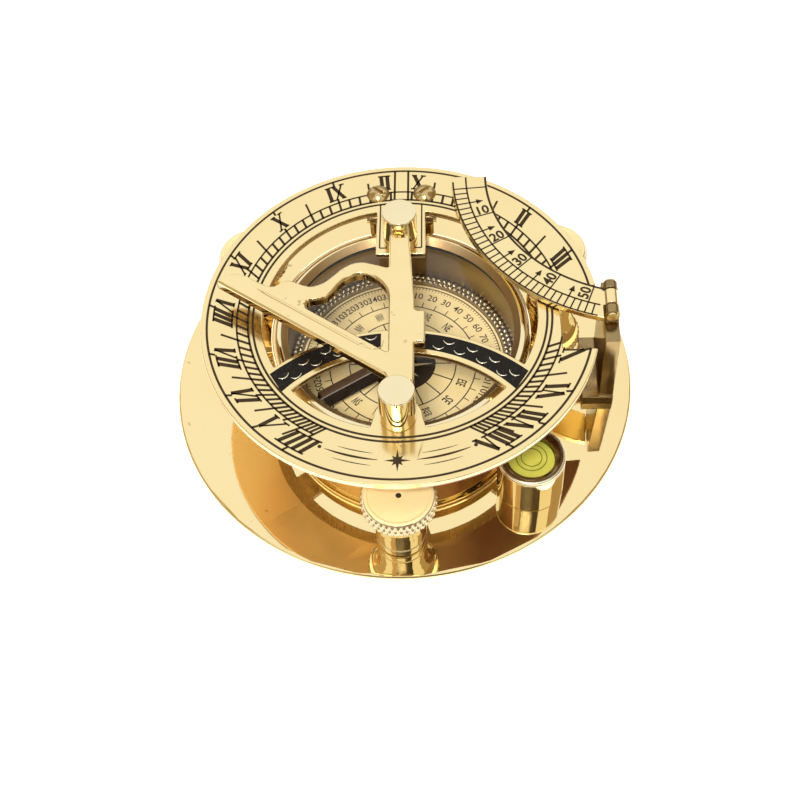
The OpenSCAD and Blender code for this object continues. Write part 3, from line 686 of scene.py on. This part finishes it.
class SUNDIAL_OT_stage(bpy.types.Operator):
    """Camera at the dial's usual view, white floor, lamp and sky"""
    bl_idname = "sundial.stage"
    bl_label = "Camera and stage"

    def execute(self, context):
        scene, stage = context.scene, context.scene.sundial_stage
        back = Vector((math.sin(stage.azimuth) * math.cos(stage.elevation),
                       -math.cos(stage.azimuth) * math.cos(stage.elevation), math.sin(stage.elevation)))
        lens = bpy.data.cameras.new("dial_camera")
        lens.lens, lens.sensor_width = stage.lens, 36.0
        lens.clip_start, lens.clip_end = 0.01, 20.0
        camera = self.aimed("dial_camera", lens, CAMERA_TARGET + back * stage.distance, back, stage.roll)
        scene.camera = camera
        scene.view_settings.view_transform = "Standard"
        self.sky(scene, stage.fill)
        self.floor()
        light = bpy.data.lights.new("key_lamp", "AREA")
        light.shape, light.size = "DISK", 0.3
        light.energy, light.color = stage.key, (1.0, 0.97, 0.92)
        spot = Vector((-0.05, -0.48, 0.8))
        self.aimed("key_lamp", light, spot, spot)
        for name, (turns, rises, reach, shade) in STAGE_CARDS.items():
            self.card(name, turns, rises, reach, shade)
        return {"FINISHED"}

    def aimed(self, name, data, place, back, roll=0.0):
        """A camera or lamp that looks away from a direction."""
        made = bpy.data.objects.new(name, data)
        made.location = place
        made.rotation_mode = "QUATERNION"
        made.rotation_quaternion = (-back).to_track_quat("-Z", "Y") @ Quaternion((0, 0, 1), roll)
        bpy.context.scene.collection.objects.link(made)
        return made

    def sky(self, scene, fill):
        """White to the eye and in mirrors, weaker on matt surfaces."""
        scene.world = bpy.data.worlds.new("studio_sky")
        f = Finish("studio_sky", scene.world)
        strength = f.seen() * (1.0 - fill) + fill
        sky = f.node("Background", {"Color": (1.0, 1.0, 1.0), "Strength": strength})
        f.node("OutputWorld", {"Surface": sky})

    def set_up(self, name, points, faces, material):
        """A stage piece from points in metres."""
        mesh = bpy.data.meshes.new(name)
        mesh.from_pydata(points, [], faces)
        mesh.materials.append(material)
        made = bpy.data.objects.new(name, mesh)
        bpy.context.scene.collection.objects.link(made)
        return made

    def floor(self):
        """A white table top that keeps the object's shadow."""
        f = Finish("white_table")
        lit = f.node("BsdfDiffuse", {"Color": (0.8, 0.8, 0.8)})
        white = f.node("Emission", {"Color": (1.0, 1.0, 1.0), "Strength": 0.72})
        both = f.node("AddShader", {0: lit, 1: white})
        white_table = f.shown(f.node("MixShader", {0: f.seen(), 1: lit, 2: both}))
        self.set_up("table_top", [(-3, -3, 0), (3, -3, 0), (3, 3, 0), (-3, 3, 0)], [(0, 1, 2, 3)],
                    white_table)

    def card(self, name, turns, rises, reach, shade):
        """A part of a sphere round the object that only mirrors see: x is the reach times the sine of
        the turn and the cosine of the rise, y the same with minus the cosine of the turn, z the reach
        times the sine of the rise."""
        f = Finish(name)
        glow = f.shown(f.node("Emission", {"Color": shade}))
        rows, cols = 6, 49
        turn = np.radians(np.linspace(*turns, cols))[None, :]
        rise = np.radians(np.linspace(*rises, rows))[:, None]
        points = np.stack([reach * np.sin(turn) * np.cos(rise), -reach * np.cos(turn) * np.cos(rise),
                           reach * np.sin(rise) + 0 * turn], -1).reshape(-1, 3)
        card = self.set_up(name, points.tolist(), sheet_faces(rows, cols), glow)
        card.visible_camera = card.visible_diffuse = card.visible_shadow = False
        card.visible_transmission = False


# The base and its screws

SLOTS_BELOW = np.array([(0, 22, 20), (-19.05, -11, 75), (19.05, -11, 130), (-5.5, 44.6, 40),
                        (5.5, 44.6, 160), (52.1, -6.4, 15), (52.1, 7.6, 100), (34.3, -35.6, 60)])
HEAD_R = 9.45
TOOTH_ROWS = ((SCREW_TOP - 2.6, SCREW_TOP - 0.75, 0.0), (SCREW_TOP - 4.5, SCREW_TOP - 2.65, math.pi))


class SUNDIAL_OT_base(bpy.types.Operator):
    """Base plate, bushes, foot pads and the screws under the plate"""
    bl_idname = "sundial.base"
    bl_label = "Base"

    def execute(self, context):
        softened("round_base", "base_plate", "base", "mirror_brass", 0.12, 2)
        dress("screw_bushes", "turned_brass")
        for side in SCREWS:
            softened(f"foot_pad_{side}", f"foot_{side}", f"foot_{side}", "turned_brass", 0.25)
        for node in ("drum_screws", "block_screws", "bracket_screws", "level_screw"):
            dress(node, "aged_brass")
        # Painted shade: dark ink bars under the base where the screws' slots are.
        turn = np.radians(SLOTS_BELOW[:, 2])
        across = np.stack([np.cos(turn), np.sin(turn)], 1) * 2.4
        low = corners("base_plate")[0][2]
        slots = bars(SLOTS_BELOW[:, :2] - across, SLOTS_BELOW[:, :2] + across, 0.7, low - 0.02, low + 0.3)
        new_piece("screw_slots", slots, "base", "printed_ink", 0)
        return {"FINISHED"}


def screw_profile():
    """Radius and height of a levelling screw, from its tip up round the hollow sleeve to the dish in
    its head."""
    tip, deck, top = SCREW_TIP, DECK, SCREW_TOP
    shaft = [(2.4, tip), (2.4, tip + 0.9), (3.0, tip + 0.9), (3.0, deck + 7.4), (5.6, deck + 7.4),
             (5.6, deck + 0.4), (6.7, deck + 0.4, 0.3), (6.7, deck + 2.9, 0.1), (6.45, deck + 3.1, 0.05),
             (6.45, deck + 3.3, 0.05), (6.7, deck + 3.5, 0.1), (6.72, deck + 8.0), (7.0, deck + 11.2),
             (7.5, deck + 13.4), (8.4, deck + 15.4), (9.3, top - 4.6)]
    rows = np.column_stack([np.full(37, HEAD_R), np.linspace(top - 4.5, top - 0.75, 37)])
    head = [(HEAD_R, top - 0.7), (9.1, top - 0.1, 0.3), (8.2, top, 0.2), (7.9, top - 0.2, 0.3),
            (4.0, top - 0.3, 1.0), (0.75, top - 0.32, 0.05), (0.68, top - 0.95, 0.1), (0.2, top - 1.0)]
    return np.concatenate([rounded(shaft, 0.4), rows, rounded(head, 0.3)[1:]])


def screw_ripple(profile, turn):
    """Two rows of teeth: the radius gains a tooth times a squared sine bump of the height in the row
    and a cosine round the head, the lower row half a tooth further round."""
    sizes = bpy.context.scene.sundial_works
    more = np.zeros((len(profile), len(turn)))
    for low, high, phase in TOOTH_ROWS:
        inside = np.clip((profile[:, 1:] - low) / (high - low), 0, 1)
        row = np.sin(inside * math.pi) ** 0.7 * (profile[:, :1] > HEAD_R - 0.01)
        more += sizes.tooth / MM * row * (0.5 + 0.5 * np.cos(sizes.teeth * turn[None, :] + phase)) ** 0.8
    return more, 0.0


def screw_kinds(points, faces, centre):
    """Each face's finish: turned, satin in the dish, teeth painted darker as shade, or ink painted as shade
    in the dimple.
    """
    top = points[:, 2].max()
    mean = points[np.array([face[:4] for face in faces])].mean(1)
    reach = np.hypot(*(mean[:, :2] - centre).T)
    toothed = (reach > 9.2) & (mean[:, 2] > top - 4.6) & (mean[:, 2] < top - 0.5)
    # Kind 3 is ink painted as shade in the dimple; kind 2, the teeth, is painted darker as shade.
    dished = np.where(reach < 0.74, 3, 1) * (mean[:, 2] > top - 1.1) * (reach < 9.0)
    return np.where(toothed, 2, dished)


class SUNDIAL_OT_levelling_screws(bpy.types.Operator):
    """Three levelling screws with toothed, dished heads"""
    bl_idname = "sundial.levelling_screws"
    bl_label = "Levelling screws"

    def execute(self, context):
        for side in SCREWS:
            node = f"levelling_screw_{side}"
            centre = np.mean(corners(node), 0)[:2]
            made = turned(screw_profile(), centre, 320, ripple=screw_ripple)
            new_piece(f"levelling_knob_{side}", made, f"screw_{side}",
                      "turned_brass satin_brass tooth_brass printed_ink", 40,
                      kinds=screw_kinds(*made, centre), node=node)
        return {"FINISHED"}


# The compass


def inner_faces(points, faces, centre, radius):
    """1 for the faces nearer to a vertical axis than a radius, else 0."""
    reach = np.hypot(points[:, 0] - centre[0], points[:, 1] - centre[1])
    return [int(reach[list(face)].mean() < radius) for face in faces]


class SUNDIAL_OT_drum(bpy.types.Operator):
    """Compass drum, bezel, glass and the milled ring round the card"""
    bl_idname = "sundial.drum"
    bl_label = "Compass drum"

    def execute(self, context):
        softened("drum_wall", "compass_drum", "base", "drum_brass", 0.12, 2)
        for node, look in (("glass_gasket", "black_rubber"), ("compass_glass", "clear_glass"),
                           ("pivot_pin", "turned_brass")):
            dress(node, look)
        (_, _, foot), (out, _, top) = corners("drum_bezel")
        lip = top - 1.5
        profile = [(33.25, foot), (out - 0.3, foot), (out, foot + 0.3), (out, foot + 1.6, 0.2),
                   (out - 0.35, foot + 1.9, 0.15), (out - 0.35, foot + 2.2, 0.15), (out, foot + 2.5, 0.2),
                   (out, top - 0.9, 0.8), (out - 1.6, top, 0.9), (32.5, top, 0.15),
                   (30.75, lip + 0.05, 0.1), (30.65, lip), (33.25, lip), (33.25, foot)]
        made = turned(rounded(profile, 0.2)[:-1], (0, 0), 192, closed=True)
        # The inner slope of the bezel takes the painted shade finish.
        new_piece("glass_bezel", made, "base", "turned_brass bevel_brass", 25,
                  kinds=inner_faces(*made, (0, 0), 32.45), node="drum_bezel")
        self.milled_ring()
        return {"FINISHED"}

    def milled_ring(self):
        """A ring with two rows of uneven beads on its top: the height gains a bead's bump, the product
        of a sine across the row and a cosine along it, times a slow drift."""
        (_, _, floor), (outer, _, top) = corners("milled_ring")
        count = bpy.context.scene.sundial_works.beads
        bore, inner, ledge = 26.0, 28.62, CARD_TOP - 0.52
        crown = np.column_stack([np.linspace(outer - 0.02, inner, 19), np.full(19, top - 0.62)])
        profile = np.concatenate([[(bore, floor), (outer, floor), (outer, top - 0.7)], crown,
                                  [(inner, ledge), (bore, ledge)]])

        def ripple(profile, turn):
            across = (profile[:, :1] - inner) / (outer - inner)
            on_crown = (profile[:, 1:] > top - 0.65) & (across >= 0) & (across <= 1)
            drift = 0.78 + 0.22 * np.sin(7 * turn + 1.0) * np.sin(23 * turn) + 0.1 * np.sin(61 * turn)
            bump = sum(np.clip(np.sin(np.clip(across * 2 - row, 0, 1) * math.pi), 0, 1)
                       * (0.5 + 0.5 * np.cos(count * turn[None, :] + row * math.pi)) for row in (0, 1))
            return 0.0, bump ** 0.6 * on_crown * drift[None, :] * 0.56

        made = turned(profile, (0, 0), 1080, closed=True, ripple=ripple)
        # The beads take the painted shade finish.
        new_piece("beaded_ring", made, "base", "bead_brass", 60, node="milled_ring")


class SUNDIAL_OT_card(bpy.types.Operator):
    """Printed compass card"""
    bl_idname = "sundial.card"
    bl_label = "Compass card"

    def execute(self, context):
        dress("compass_card", "card_paper")
        low, high = CARD_TOP - PAINT_FOOT, CARD_TOP + 0.03
        ink = [swept(circle(radius), strip(width, low, high), True)
               for radius, width in ((14.9, 0.32), (20.5, 0.32), (27.6, 0.3))]
        ink.append(turned([(2.2, low), (9.2, low), (9.2, high), (2.2, high)], (0, 0), 144, closed=True))
        ink += [spokes(*lines, low, high) for lines in (
            (16, 0.0, 9.2, 14.9, 0.34), (36, 5.0, 20.5, 22.3, 0.24), (180, 0.0, 26.7, 27.6, 0.16))]

        def label(text, degrees, radius, height, weight, width=None):
            turn = math.radians(degrees)
            ink.append(written(text, bearing(turn, radius), (math.cos(turn), -math.sin(turn)), height,
                               low, high, weight, width))

        for k, name in enumerate("N NNE NE ENE E ESE SE SSE S SSW SW WSW W WNW NW NNW".split()):
            label(name, 22.5 * k, 16.4, 2.7, 0.06, 1.5 if len(name) == 1 else 2.2)
        for degrees in range(0, 360, 10):
            label(str(degrees), degrees, 23.4, context.scene.sundial_works.card_digits / MM, 0.02)
        new_piece("card_print", joined(ink), "base", "printed_ink", 0)
        rose = []
        for k in range(8):
            turn = math.radians(45.0 * k)
            tip, flank = bearing(turn, 6.4 if k % 2 else 8.4), bearing(turn + 0.38, 2.9)
            rose.append(prism([bearing(turn, 0.9), flank, tip], low + 0.02, high + 0.03))
        new_piece("card_rose", joined(rose), "base", "card_paper", 0)
        return {"FINISHED"}


class SUNDIAL_OT_needle(bpy.types.Operator):
    """Ridged needle with painted light: a lit facet, a shaded facet, a highlight on the ridge; and its cap"""
    bl_idname = "sundial.needle"
    bl_label = "Needle"

    def execute(self, context):
        low, high = corners("needle")
        turn, tip, tail, wide, thick = math.radians(212.7), 27.6, 13.0, 2.9, high[2] - low[2]
        along = np.array([-tail, -tail + 2.0, -2.6, 0.0, 2.6, tip - 2.0, tip])[None, :]
        width = np.array([0.06, wide, wide, wide, wide, wide, 0.06])[None, :]
        across = np.array([-1.0, -0.97, -0.5, -0.06, 0.06, 0.5, 0.97, 1.0])[:, None]
        flat = np.stack(np.broadcast_arrays(along, width * across), -1)
        ridge = low[2] + thick * (1.0 - 0.765 * np.abs(across)) + 0 * along
        points, faces = slab(np.concatenate([flat, ridge[:, :, None]], 2), raised(flat, low[2]))
        side = np.array([points[list(face), 1].mean() for face in faces])
        # Painted light: one facet lit brown, the other shaded near black, the ridge a highlight.
        kinds = np.where(np.abs(side) < 0.15, 2, np.where(side < 0, 0, 1))
        made = np.column_stack([spun(points[:, :2], turn), points[:, 2]]), faces
        new_piece("ridged_needle", made, "compass_needle", "browned_steel blued_steel bare_steel", 12,
                  kinds, "needle")
        low, high = corners("needle_cap")
        cap = [(0.95, low[2]), (1.8, low[2]), (1.8, low[2] + 0.8), (3.0, low[2] + 0.8, 0.2),
               (2.9, low[2] + 1.3, 0.3), (1.7, high[2] - 0.3, 0.5), (0.95, high[2], 0.2)]
        new_piece("needle_hub", turned(rounded(cap, 0.15), (0, 0), 48), "compass_needle",
                  "turned_brass", 35, node="needle_cap")
        return {"FINISHED"}


# The hour ring: radii of its lines, ticks and figures, the notch that the latitude arc rises through, the
# point off the centre that the hour lines spread from, the two straight lines of twelve o'clock, and the
# radius and centre of each edge of the cross band

RIM_LINE, CELL_LINE, INNER_LINE, INMOST_LINE = 51.6, 43.6, 40.6, 39.3
CELL_TICK, HALF_HOUR_TICK = (INNER_LINE, CELL_LINE, 0.68), (43.4, 47.9, 0.6)
HOUR_TICKS = ((INNER_LINE, 44.7), (50.1, RIM_LINE))
NOTCH_SIDE, NOTCH_FRONT, NOTCH_BACK = 42.8, -12.3, 9.0
HOUR_POINT, NUMERAL_R, ORNAMENT_R, TWELVE_LINE = 25.8, 47.4, 46.1, 1.9
BAND_FRONT, BAND_BACK = (40.3, -51.6), (50.0, -56.3)


def paint_levels(surface):
    """From just below a surface up to the paint's height above it."""
    return surface - PAINT_FOOT, surface + bpy.context.scene.sundial_dial.proud / MM


def hour_turn(hour_angle, radius):
    """Turn of an hour line from twelve o'clock at a radius of the ring: the lines spread from a point
    off the centre, so the turn is the hour angle plus the arcsine of the point's distance times the
    sine of the hour angle over the radius."""
    return hour_angle + np.arcsin(HOUR_POINT * np.sin(hour_angle) / radius)


def on_hour(degrees, radius):
    """The point of an hour line at a radius."""
    return bearing(hour_turn(np.radians(degrees), radius), radius)


def numeral_strokes(text, height, thick, thin):
    """Straight strokes of a Roman numeral, centred, with its foot at zero: start, end and width."""
    splay = 1.35 if text == "V" else 1.0
    advance = {"I": {"IIII": 2.1, "VII": 1.85}.get(text, 1.66), "V": 3.8 * splay, "X": 3.8}
    strokes, x = [], -sum(advance[c] for c in text) / 2
    foot, head = thin / 2, height - thin / 2
    for c in text:
        mid = x + advance[c] / 2
        if c == "I":
            strokes.append(((mid, foot), (mid, head), thick))
            strokes += [((x - 0.02, y), (x + advance[c] + 0.02, y), thin) for y in (foot, head)]
        elif c == "V":
            strokes += [((mid - 1.3 * splay, head), (mid + 0.12, 0.1), thick),
                        ((mid + 1.35 * splay, head), (mid + 0.12, 0.3), thin)]
            strokes += [((mid + (s - 0.75) * splay, head), (mid + (s + 0.75) * splay, head), thin)
                        for s in (-1.35, 1.35)]
        else:
            strokes += [((mid - 1.2, head), (mid + 1.2, foot), thick),
                        ((mid + 1.15, head), (mid - 1.15, foot), thin)]
            strokes += [((mid + s - 0.7, y), (mid + s + 0.7, y), thin)
                        for s in (-1.2, 1.2) for y in (foot, head)]
        x += advance[c]
    return strokes


class SUNDIAL_OT_ring(bpy.types.Operator):
    """Hour ring with its leaf, posts, nuts and screws"""
    bl_idname = "sundial.ring"
    bl_label = "Hour ring"

    def execute(self, context):
        for name, node, look, width, segments in (
                ("dial_plate", "hour_ring", "dial_brass", 0.3, 3),
                ("post_front", "front_post", "turned_brass", 0.4, 3),
                ("post_back", "back_post", "turned_brass", 0.4, 3),
                ("ring_leaf", "hinge_leaf", "aged_brass", 0.2, 2),
                ("ring_nuts", "post_nuts", "turned_brass", 0.2, 2),
                ("ring_screws", "leaf_screws", "worn_brass", 0.12, 2)):
            softened(name, node, "hour_ring", look, width, segments)
        return {"FINISHED"}


class SUNDIAL_OT_engraving(bpy.types.Operator):
    """Circles, hour lines and numerals of the hour ring"""
    bl_idname = "sundial.engraving"
    bl_label = "Hour engraving"

    def execute(self, context):
        sizes = context.scene.sundial_dial
        line, thick, thin = sizes.line / MM, sizes.thick / MM, sizes.thin / MM
        height, foot = sizes.numeral_height / MM, sizes.numeral_foot / MM
        low, high = paint_levels(RING_TOP)
        lines = []

        def add(start, end, width):
            """Keeps a line unless it lies in the notch."""
            inside = NOTCH_FRONT - 0.3 < (start[1] + end[1]) / 2 < NOTCH_BACK + 0.3
            if not (inside and max(start[0], end[0]) > NOTCH_SIDE - 0.4):
                lines.append((start, end, width))

        for side in (-1, 1):
            for step in range(1, 49):
                ticks = [CELL_TICK] if step % 6 else [(*ends, line) for ends in HOUR_TICKS]
                ticks += [HALF_HOUR_TICK] * (step % 6 == 3)
                for start, end, width in ticks:
                    add(*(on_hour(2.5 * step * side, radius) for radius in (start, end)), width)
        for x in (-TWELVE_LINE, TWELVE_LINE):
            add(*([x, math.sqrt(radius ** 2 - x * x)] for radius in (INNER_LINE, RIM_LINE)), line)

        numerals = {1: ("I", "XI"), 2: ("II", "X"), 3: ("III", "IX"), 4: ("IIII", "VIII"),
                    5: ("V", "VII"), 6: ("VI", "VI"), 7: ("VII", "V"), 8: ("VIII", "IIII")}
        marks = [(name, 15.0 * hour * side, 0.0) for hour, names in numerals.items()
                 for side, name in zip((1, -1), names)]
        for name, degrees, shift in marks + [("X", 0.0, -4.7), ("II", 0.0, 4.8)]:
            for start, end, width in numeral_strokes(name, height, thick, thin):
                add(*(self.lean(point, math.radians(degrees), foot, shift) for point in (start, end)), width)

        limit = math.degrees(hour_turn(math.radians(120), CELL_LINE))
        rim_start, rim_end = self.notch(RIM_LINE)
        cell_start, cell_end = self.notch(CELL_LINE)
        parts = [swept(circle(RIM_LINE, (0, 0), rim_end, 360 + rim_start, 720), strip(line, low, high))]
        parts += [swept(circle(radius, steps=720), strip(line, low, high), True)
                  for radius in (INNER_LINE, INMOST_LINE)]
        parts += [swept(circle(CELL_LINE, (0, 0), *ends), strip(0.5, low, high)) for ends in (
            (90.0, 90.0 + limit, 400), (cell_end, 90.0, 200), (90.0 - limit, cell_start, 100))]
        parts.append(bars(*zip(*lines), low, high))
        side, front, back = 5.8, 22.9, 39.1
        parts.append(bars([(-side, front), (-side, front), (side, front)],
                          [(side, front), (-side, back), (side, back)], 0.4, low, high))
        new_piece("hour_engraving", joined(parts), "hour_ring", "engraving_paint", 0)
        return {"FINISHED"}

    def lean(self, point, hour_angle, foot, shift):
        """A point of a numeral set on the ring with its top towards the centre, leaning as the hour line
        does: its height takes it inwards along the hour line, its across value round the circle."""
        radius = foot - point[1]
        return bearing(hour_turn(hour_angle, radius) - (point[0] + shift) / NUMERAL_R, radius)

    def notch(self, radius):
        """Angles from +X where the notch for the latitude arc cuts a circle."""
        reach = math.degrees(math.acos(NOTCH_SIDE / radius))
        front, back = (math.degrees(math.asin(end / radius)) for end in (NOTCH_FRONT, NOTCH_BACK))
        return max(-reach, front), min(reach, back)


class SUNDIAL_OT_band(bpy.types.Operator):
    """Black enamel and brass crescents on the cross band"""
    bl_idname = "sundial.band"
    bl_label = "Cross band"

    def execute(self, context):
        enamel = [self.patch((-30.2, -4.8), (-33.6, -4.8)), self.patch((2.0, 30.2), (2.0, 33.6))]
        new_piece("band_enamel", joined(enamel), "hour_ring", "black_enamel", 0)
        upper = [(7.4, -7.8), (13.1, -9.6), (19.2, -12.1), (24.9, -15.5), (29.9, -19.8)]
        lower = [(10.3, -11.1), (15.8, -12.9), (21.5, -15.8), (26.6, -19.8)]
        t = np.radians(np.linspace(-58, 58, 15))
        bow = np.stack([1.75 * np.sin(t), -1.75 * np.cos(t) + 1.0], 1)
        taper = 0.35 + 0.65 * np.cos(t * 1.4) ** 0.8
        section = bead(0.36, RING_TOP + 0.03, RING_TOP + 0.1, 6)
        marks = [swept(spun(bow, -side * math.asin(x / 52.0)) + (side * x, y), section, False, taper)
                 for side in (-1, 1) for x, y in upper + lower if side < 0 or x > 8]
        new_piece("band_crescents", joined(marks), "hour_ring", "pale_brass", 40)
        return {"FINISHED"}

    def patch(self, front, back):
        """Enamel between two arcs, each from one x to another: each point is a blend from the front
        arc's point to the back arc's at the same share of their lengths."""
        arcs = [bearing(np.linspace(*np.arcsin(np.array(xs) / radius), 60), radius) + (0, centre)
                for xs, (radius, centre) in ((front, BAND_FRONT), (back, BAND_BACK))]
        u = np.linspace(0, 1, 5)[:, None, None]
        flat = arcs[0][None] * (1 - u) + arcs[1][None] * u
        return slab(raised(flat, RING_TOP + 0.035), raised(flat, RING_TOP - PAINT_FOOT))


class SUNDIAL_OT_ornament(bpy.types.Operator):
    """Eight-pointed star with tapering rules at the front of the ring"""
    bl_idname = "sundial.ornament"
    bl_label = "Front ornament"

    def execute(self, context):
        low, high = paint_levels(RING_TOP)
        star = bearing(np.radians(np.arange(16) * 22.5), np.array([3.3, 1.05, 2.0, 1.05] * 4))
        parts = [prism((star + (0, -ORNAMENT_R))[::-1], low, high)]
        taper = np.sin(np.linspace(0.12, math.pi - 0.12, 40)) ** 0.8
        for side in (-1, 1):
            for radius, start, end, width in ((ORNAMENT_R, 6.2, 23.5, 0.62), (44.3, 8.0, 20.0, 0.26),
                                              (47.9, 8.0, 20.0, 0.26)):
                path = circle(radius, (0, 0), 270 + side * start, 270 + side * end, 40)
                parts.append(swept(path, strip(width, low, high), False, taper))
            dot = circle(ORNAMENT_R, (0, 0), 270 + side * 25.2, 270 + side * 25.2, 1)[0]
            parts.append(turned([(0.5, low), (0.5, high)], dot, 24))
        new_piece("front_ornament", joined(parts), "hour_ring", "engraving_paint", 0)
        return {"FINISHED"}


class SUNDIAL_OT_gnomon(bpy.types.Operator):
    """Gnomon with eased edges and the bead along its window"""
    bl_idname = "sundial.gnomon"
    bl_label = "Gnomon"

    def execute(self, context):
        softened("shadow_plate", "gnomon", "gnomon", "cast_brass", 0.75, 4, 34)
        top = corners("gnomon")[1][2]
        heel, tip = np.array([-3.0, -26.0]), np.array([-48.3, 4.7])
        far, near, inset = 44.0, 8.4, 3.9
        along = (tip - heel) / np.linalg.norm(tip - heel)
        inward = np.array([along[1], -along[0]])
        straight = heel + np.linspace(far, near, 60)[:, None] * along + inset * inward
        hook = np.array([(-8.2, -17.4), (-6.4, -18.2), (-4.9, -18.2), (-3.9, -17.2), (-3.6, -15.6)])
        path = np.concatenate([straight[straight[:, 0] < -9.0], hook])
        ends = np.clip(np.linspace(0, 12, len(path)), 0.15, 1)
        new_piece("window_bead", swept(path, bead(0.9, top - 0.1, top + 0.14, 9), False, ends * ends[::-1]),
                  "gnomon", "cast_brass", 60)
        return {"FINISHED"}


# The hinges, the latitude arc and the level


class SUNDIAL_OT_hinges(bpy.types.Operator):
    """Hinge block, brackets and their pins"""
    bl_idname = "sundial.hinges"
    bl_label = "Hinges"

    def execute(self, context):
        softened("ring_hinge_block", "hinge_block", "base", "aged_brass", 0.25, 2)
        softened("fold_bracket", "arc_bracket", "base", "aged_brass", 0.25, 2)
        dress("hinge_pin", "turned_brass")
        dress("arc_pin", "turned_brass")
        return {"FINISHED"}


class SUNDIAL_OT_latitude_arc(bpy.types.Operator):
    """Latitude arc with its scale"""
    bl_idname = "sundial.latitude_arc"
    bl_label = "Latitude arc"

    def execute(self, context):
        softened("arc_plate", "latitude_arc", "latitude_arc", "dial_brass", 0.25, 3)
        low, high = paint_levels(ARC_TOP)
        centre, zero, per_degree = np.array([66.5, 46.5]), 184.9, 1.304
        inner, scale_foot, edge = 42.7, 48.2, 51.9

        def at(degrees, radius):
            t = math.radians(zero + per_degree * degrees)
            return centre + radius * np.array([math.cos(t), math.sin(t)])

        def ticks(marks, start, end, width):
            lines.extend((at(degrees, start), at(degrees, end), width) for degrees in marks)

        lines = []
        ticks([step * 10.0 / 6.0 for step in range(32)], scale_foot, edge, 0.42)
        ticks(range(0, 51, 10), inner, scale_foot, 0.4)
        ticks(range(5, 46, 10), 45.8, scale_foot, 0.42)
        last = zero + per_degree * 53
        # The three circles are the scale's foot, its outer edge, and a broad dark line along the arc's inner
        # edge.
        parts = [swept(circle(radius, centre, start, last, 200), strip(width, low, high))
                 for radius, start, width in ((scale_foot, 179.9, 0.48), (51.85, 181.9, 0.48),
                                              (42.72, 179.9, 0.62))]
        parts += [prism([at(degrees - 0.85, 46.3), at(degrees + 0.85, 46.3), at(degrees, 44.3)], low, high)
                  for degrees in range(5, 46, 10)]
        parts.append(bars(*zip(*lines), low, high))
        for degrees in range(10, 51, 10):
            t = math.radians(zero + per_degree * (degrees - 0.45))
            parts.append(written(str(degrees), at(degrees - 0.45, 45.55), (-math.cos(t), -math.sin(t)),
                                 context.scene.sundial_dial.arc_digits / MM, low, high, 0.11))
        new_piece("arc_scale", joined(parts), "latitude_arc", "engraving_paint", 0)
        return {"FINISHED"}


class SUNDIAL_OT_level(bpy.types.Operator):
    """Spirit level with its rim, liquid, bubble and rings"""
    bl_idname = "sundial.level"
    bl_label = "Spirit level"

    def execute(self, context):
        softened("cup_body", "level_cup", "base", "turned_brass", 0.25, 3)
        dress("level_vial", "clear_glass")
        dress("level_fluid", "level_liquid")
        low, high = corners("level_rim")
        x, y = (low + high)[:2] / 2
        outer, foot, top = high[0] - x, low[2], high[2]
        rim = [(6.35, foot), (outer - 0.5, foot), (outer - 0.5, foot + 0.25), (outer, foot + 0.4, 0.15),
               (outer, top - 0.3, 0.2), (outer - 0.35, top, 0.2), (outer - 0.75, top, 0.1),
               (outer - 0.85, top - 0.22, 0.05), (outer - 1.05, top - 0.22, 0.05),
               (outer - 1.15, top - 0.05, 0.1), (6.35, top - 0.75, 0.2), (6.3, foot)]
        made = turned(rounded(rim, 0.1), (x, y), 96, closed=True)
        new_piece("cup_rim", made, "base", "pale_brass aged_brass", 35,
                  kinds=inner_faces(*made, (x, y), outer - 0.8), node="level_rim")
        surface = corners("level_fluid")[1][2]
        bubble = [(0.05, surface - 1.5), (1.6, surface - 1.35, 0.5), (2.3, surface - 0.75, 0.5),
                  (1.7, surface - 0.15, 0.5), (0.05, surface - 0.06)]
        new_piece("level_bubble", turned(rounded(bubble, 0.5), (x + 0.8, y + 0.9), 48), "base",
                  "clear_glass", 60)
        glass = corners("level_vial")[1][2]
        rings = [swept(circle(radius, (x, y), steps=96), strip(0.14, glass - 0.02, glass + 0.02), True)
                 for radius in (2.7, 4.0)]
        new_piece("level_marks", joined(rings), "base", "printed_ink", 0)
        return {"FINISHED"}


class SUNDIAL_PT_panel(bpy.types.Panel):
    """Lists the pieces in the sidebar"""
    bl_label = "Sundial Compass"
    bl_idname = "SUNDIAL_PT_panel"
    bl_space_type = "VIEW_3D"
    bl_region_type = "UI"
    bl_category = "Sundial"

    def draw(self, context):
        for operator in OPERATORS:
            self.layout.operator(operator.bl_idname)
        for group in GROUPS:
            settings = getattr(context.scene, group)
            for name in settings.__annotations__:
                self.layout.prop(settings, name)


OPERATORS = (SUNDIAL_OT_stage, SUNDIAL_OT_base, SUNDIAL_OT_levelling_screws, SUNDIAL_OT_drum,
             SUNDIAL_OT_card, SUNDIAL_OT_needle, SUNDIAL_OT_ring, SUNDIAL_OT_engraving, SUNDIAL_OT_band,
             SUNDIAL_OT_ornament, SUNDIAL_OT_gnomon, SUNDIAL_OT_hinges, SUNDIAL_OT_latitude_arc,
             SUNDIAL_OT_level)
GROUPS = {"sundial_dial": DialSizes, "sundial_works": WorksSizes, "sundial_colours": FinishColours,
          "sundial_stage": StageSettings}


def register():
    for group in (*GROUPS.values(), *OPERATORS, SUNDIAL_PT_panel):
        bpy.utils.register_class(group)
    for name, group in GROUPS.items():
        setattr(bpy.types.Scene, name, PointerProperty(type=group))


def unregister():
    for name in GROUPS:
        delattr(bpy.types.Scene, name)
    for group in (SUNDIAL_PT_panel, *reversed(OPERATORS), *GROUPS.values()):
        bpy.utils.unregister_class(group)


def main():
    """Builds every piece in order."""
    register()
    for operator in OPERATORS:
        group, name = operator.bl_idname.split(".")
        getattr(getattr(bpy.ops, group), name)()


if __name__ == "__main__":
    main()
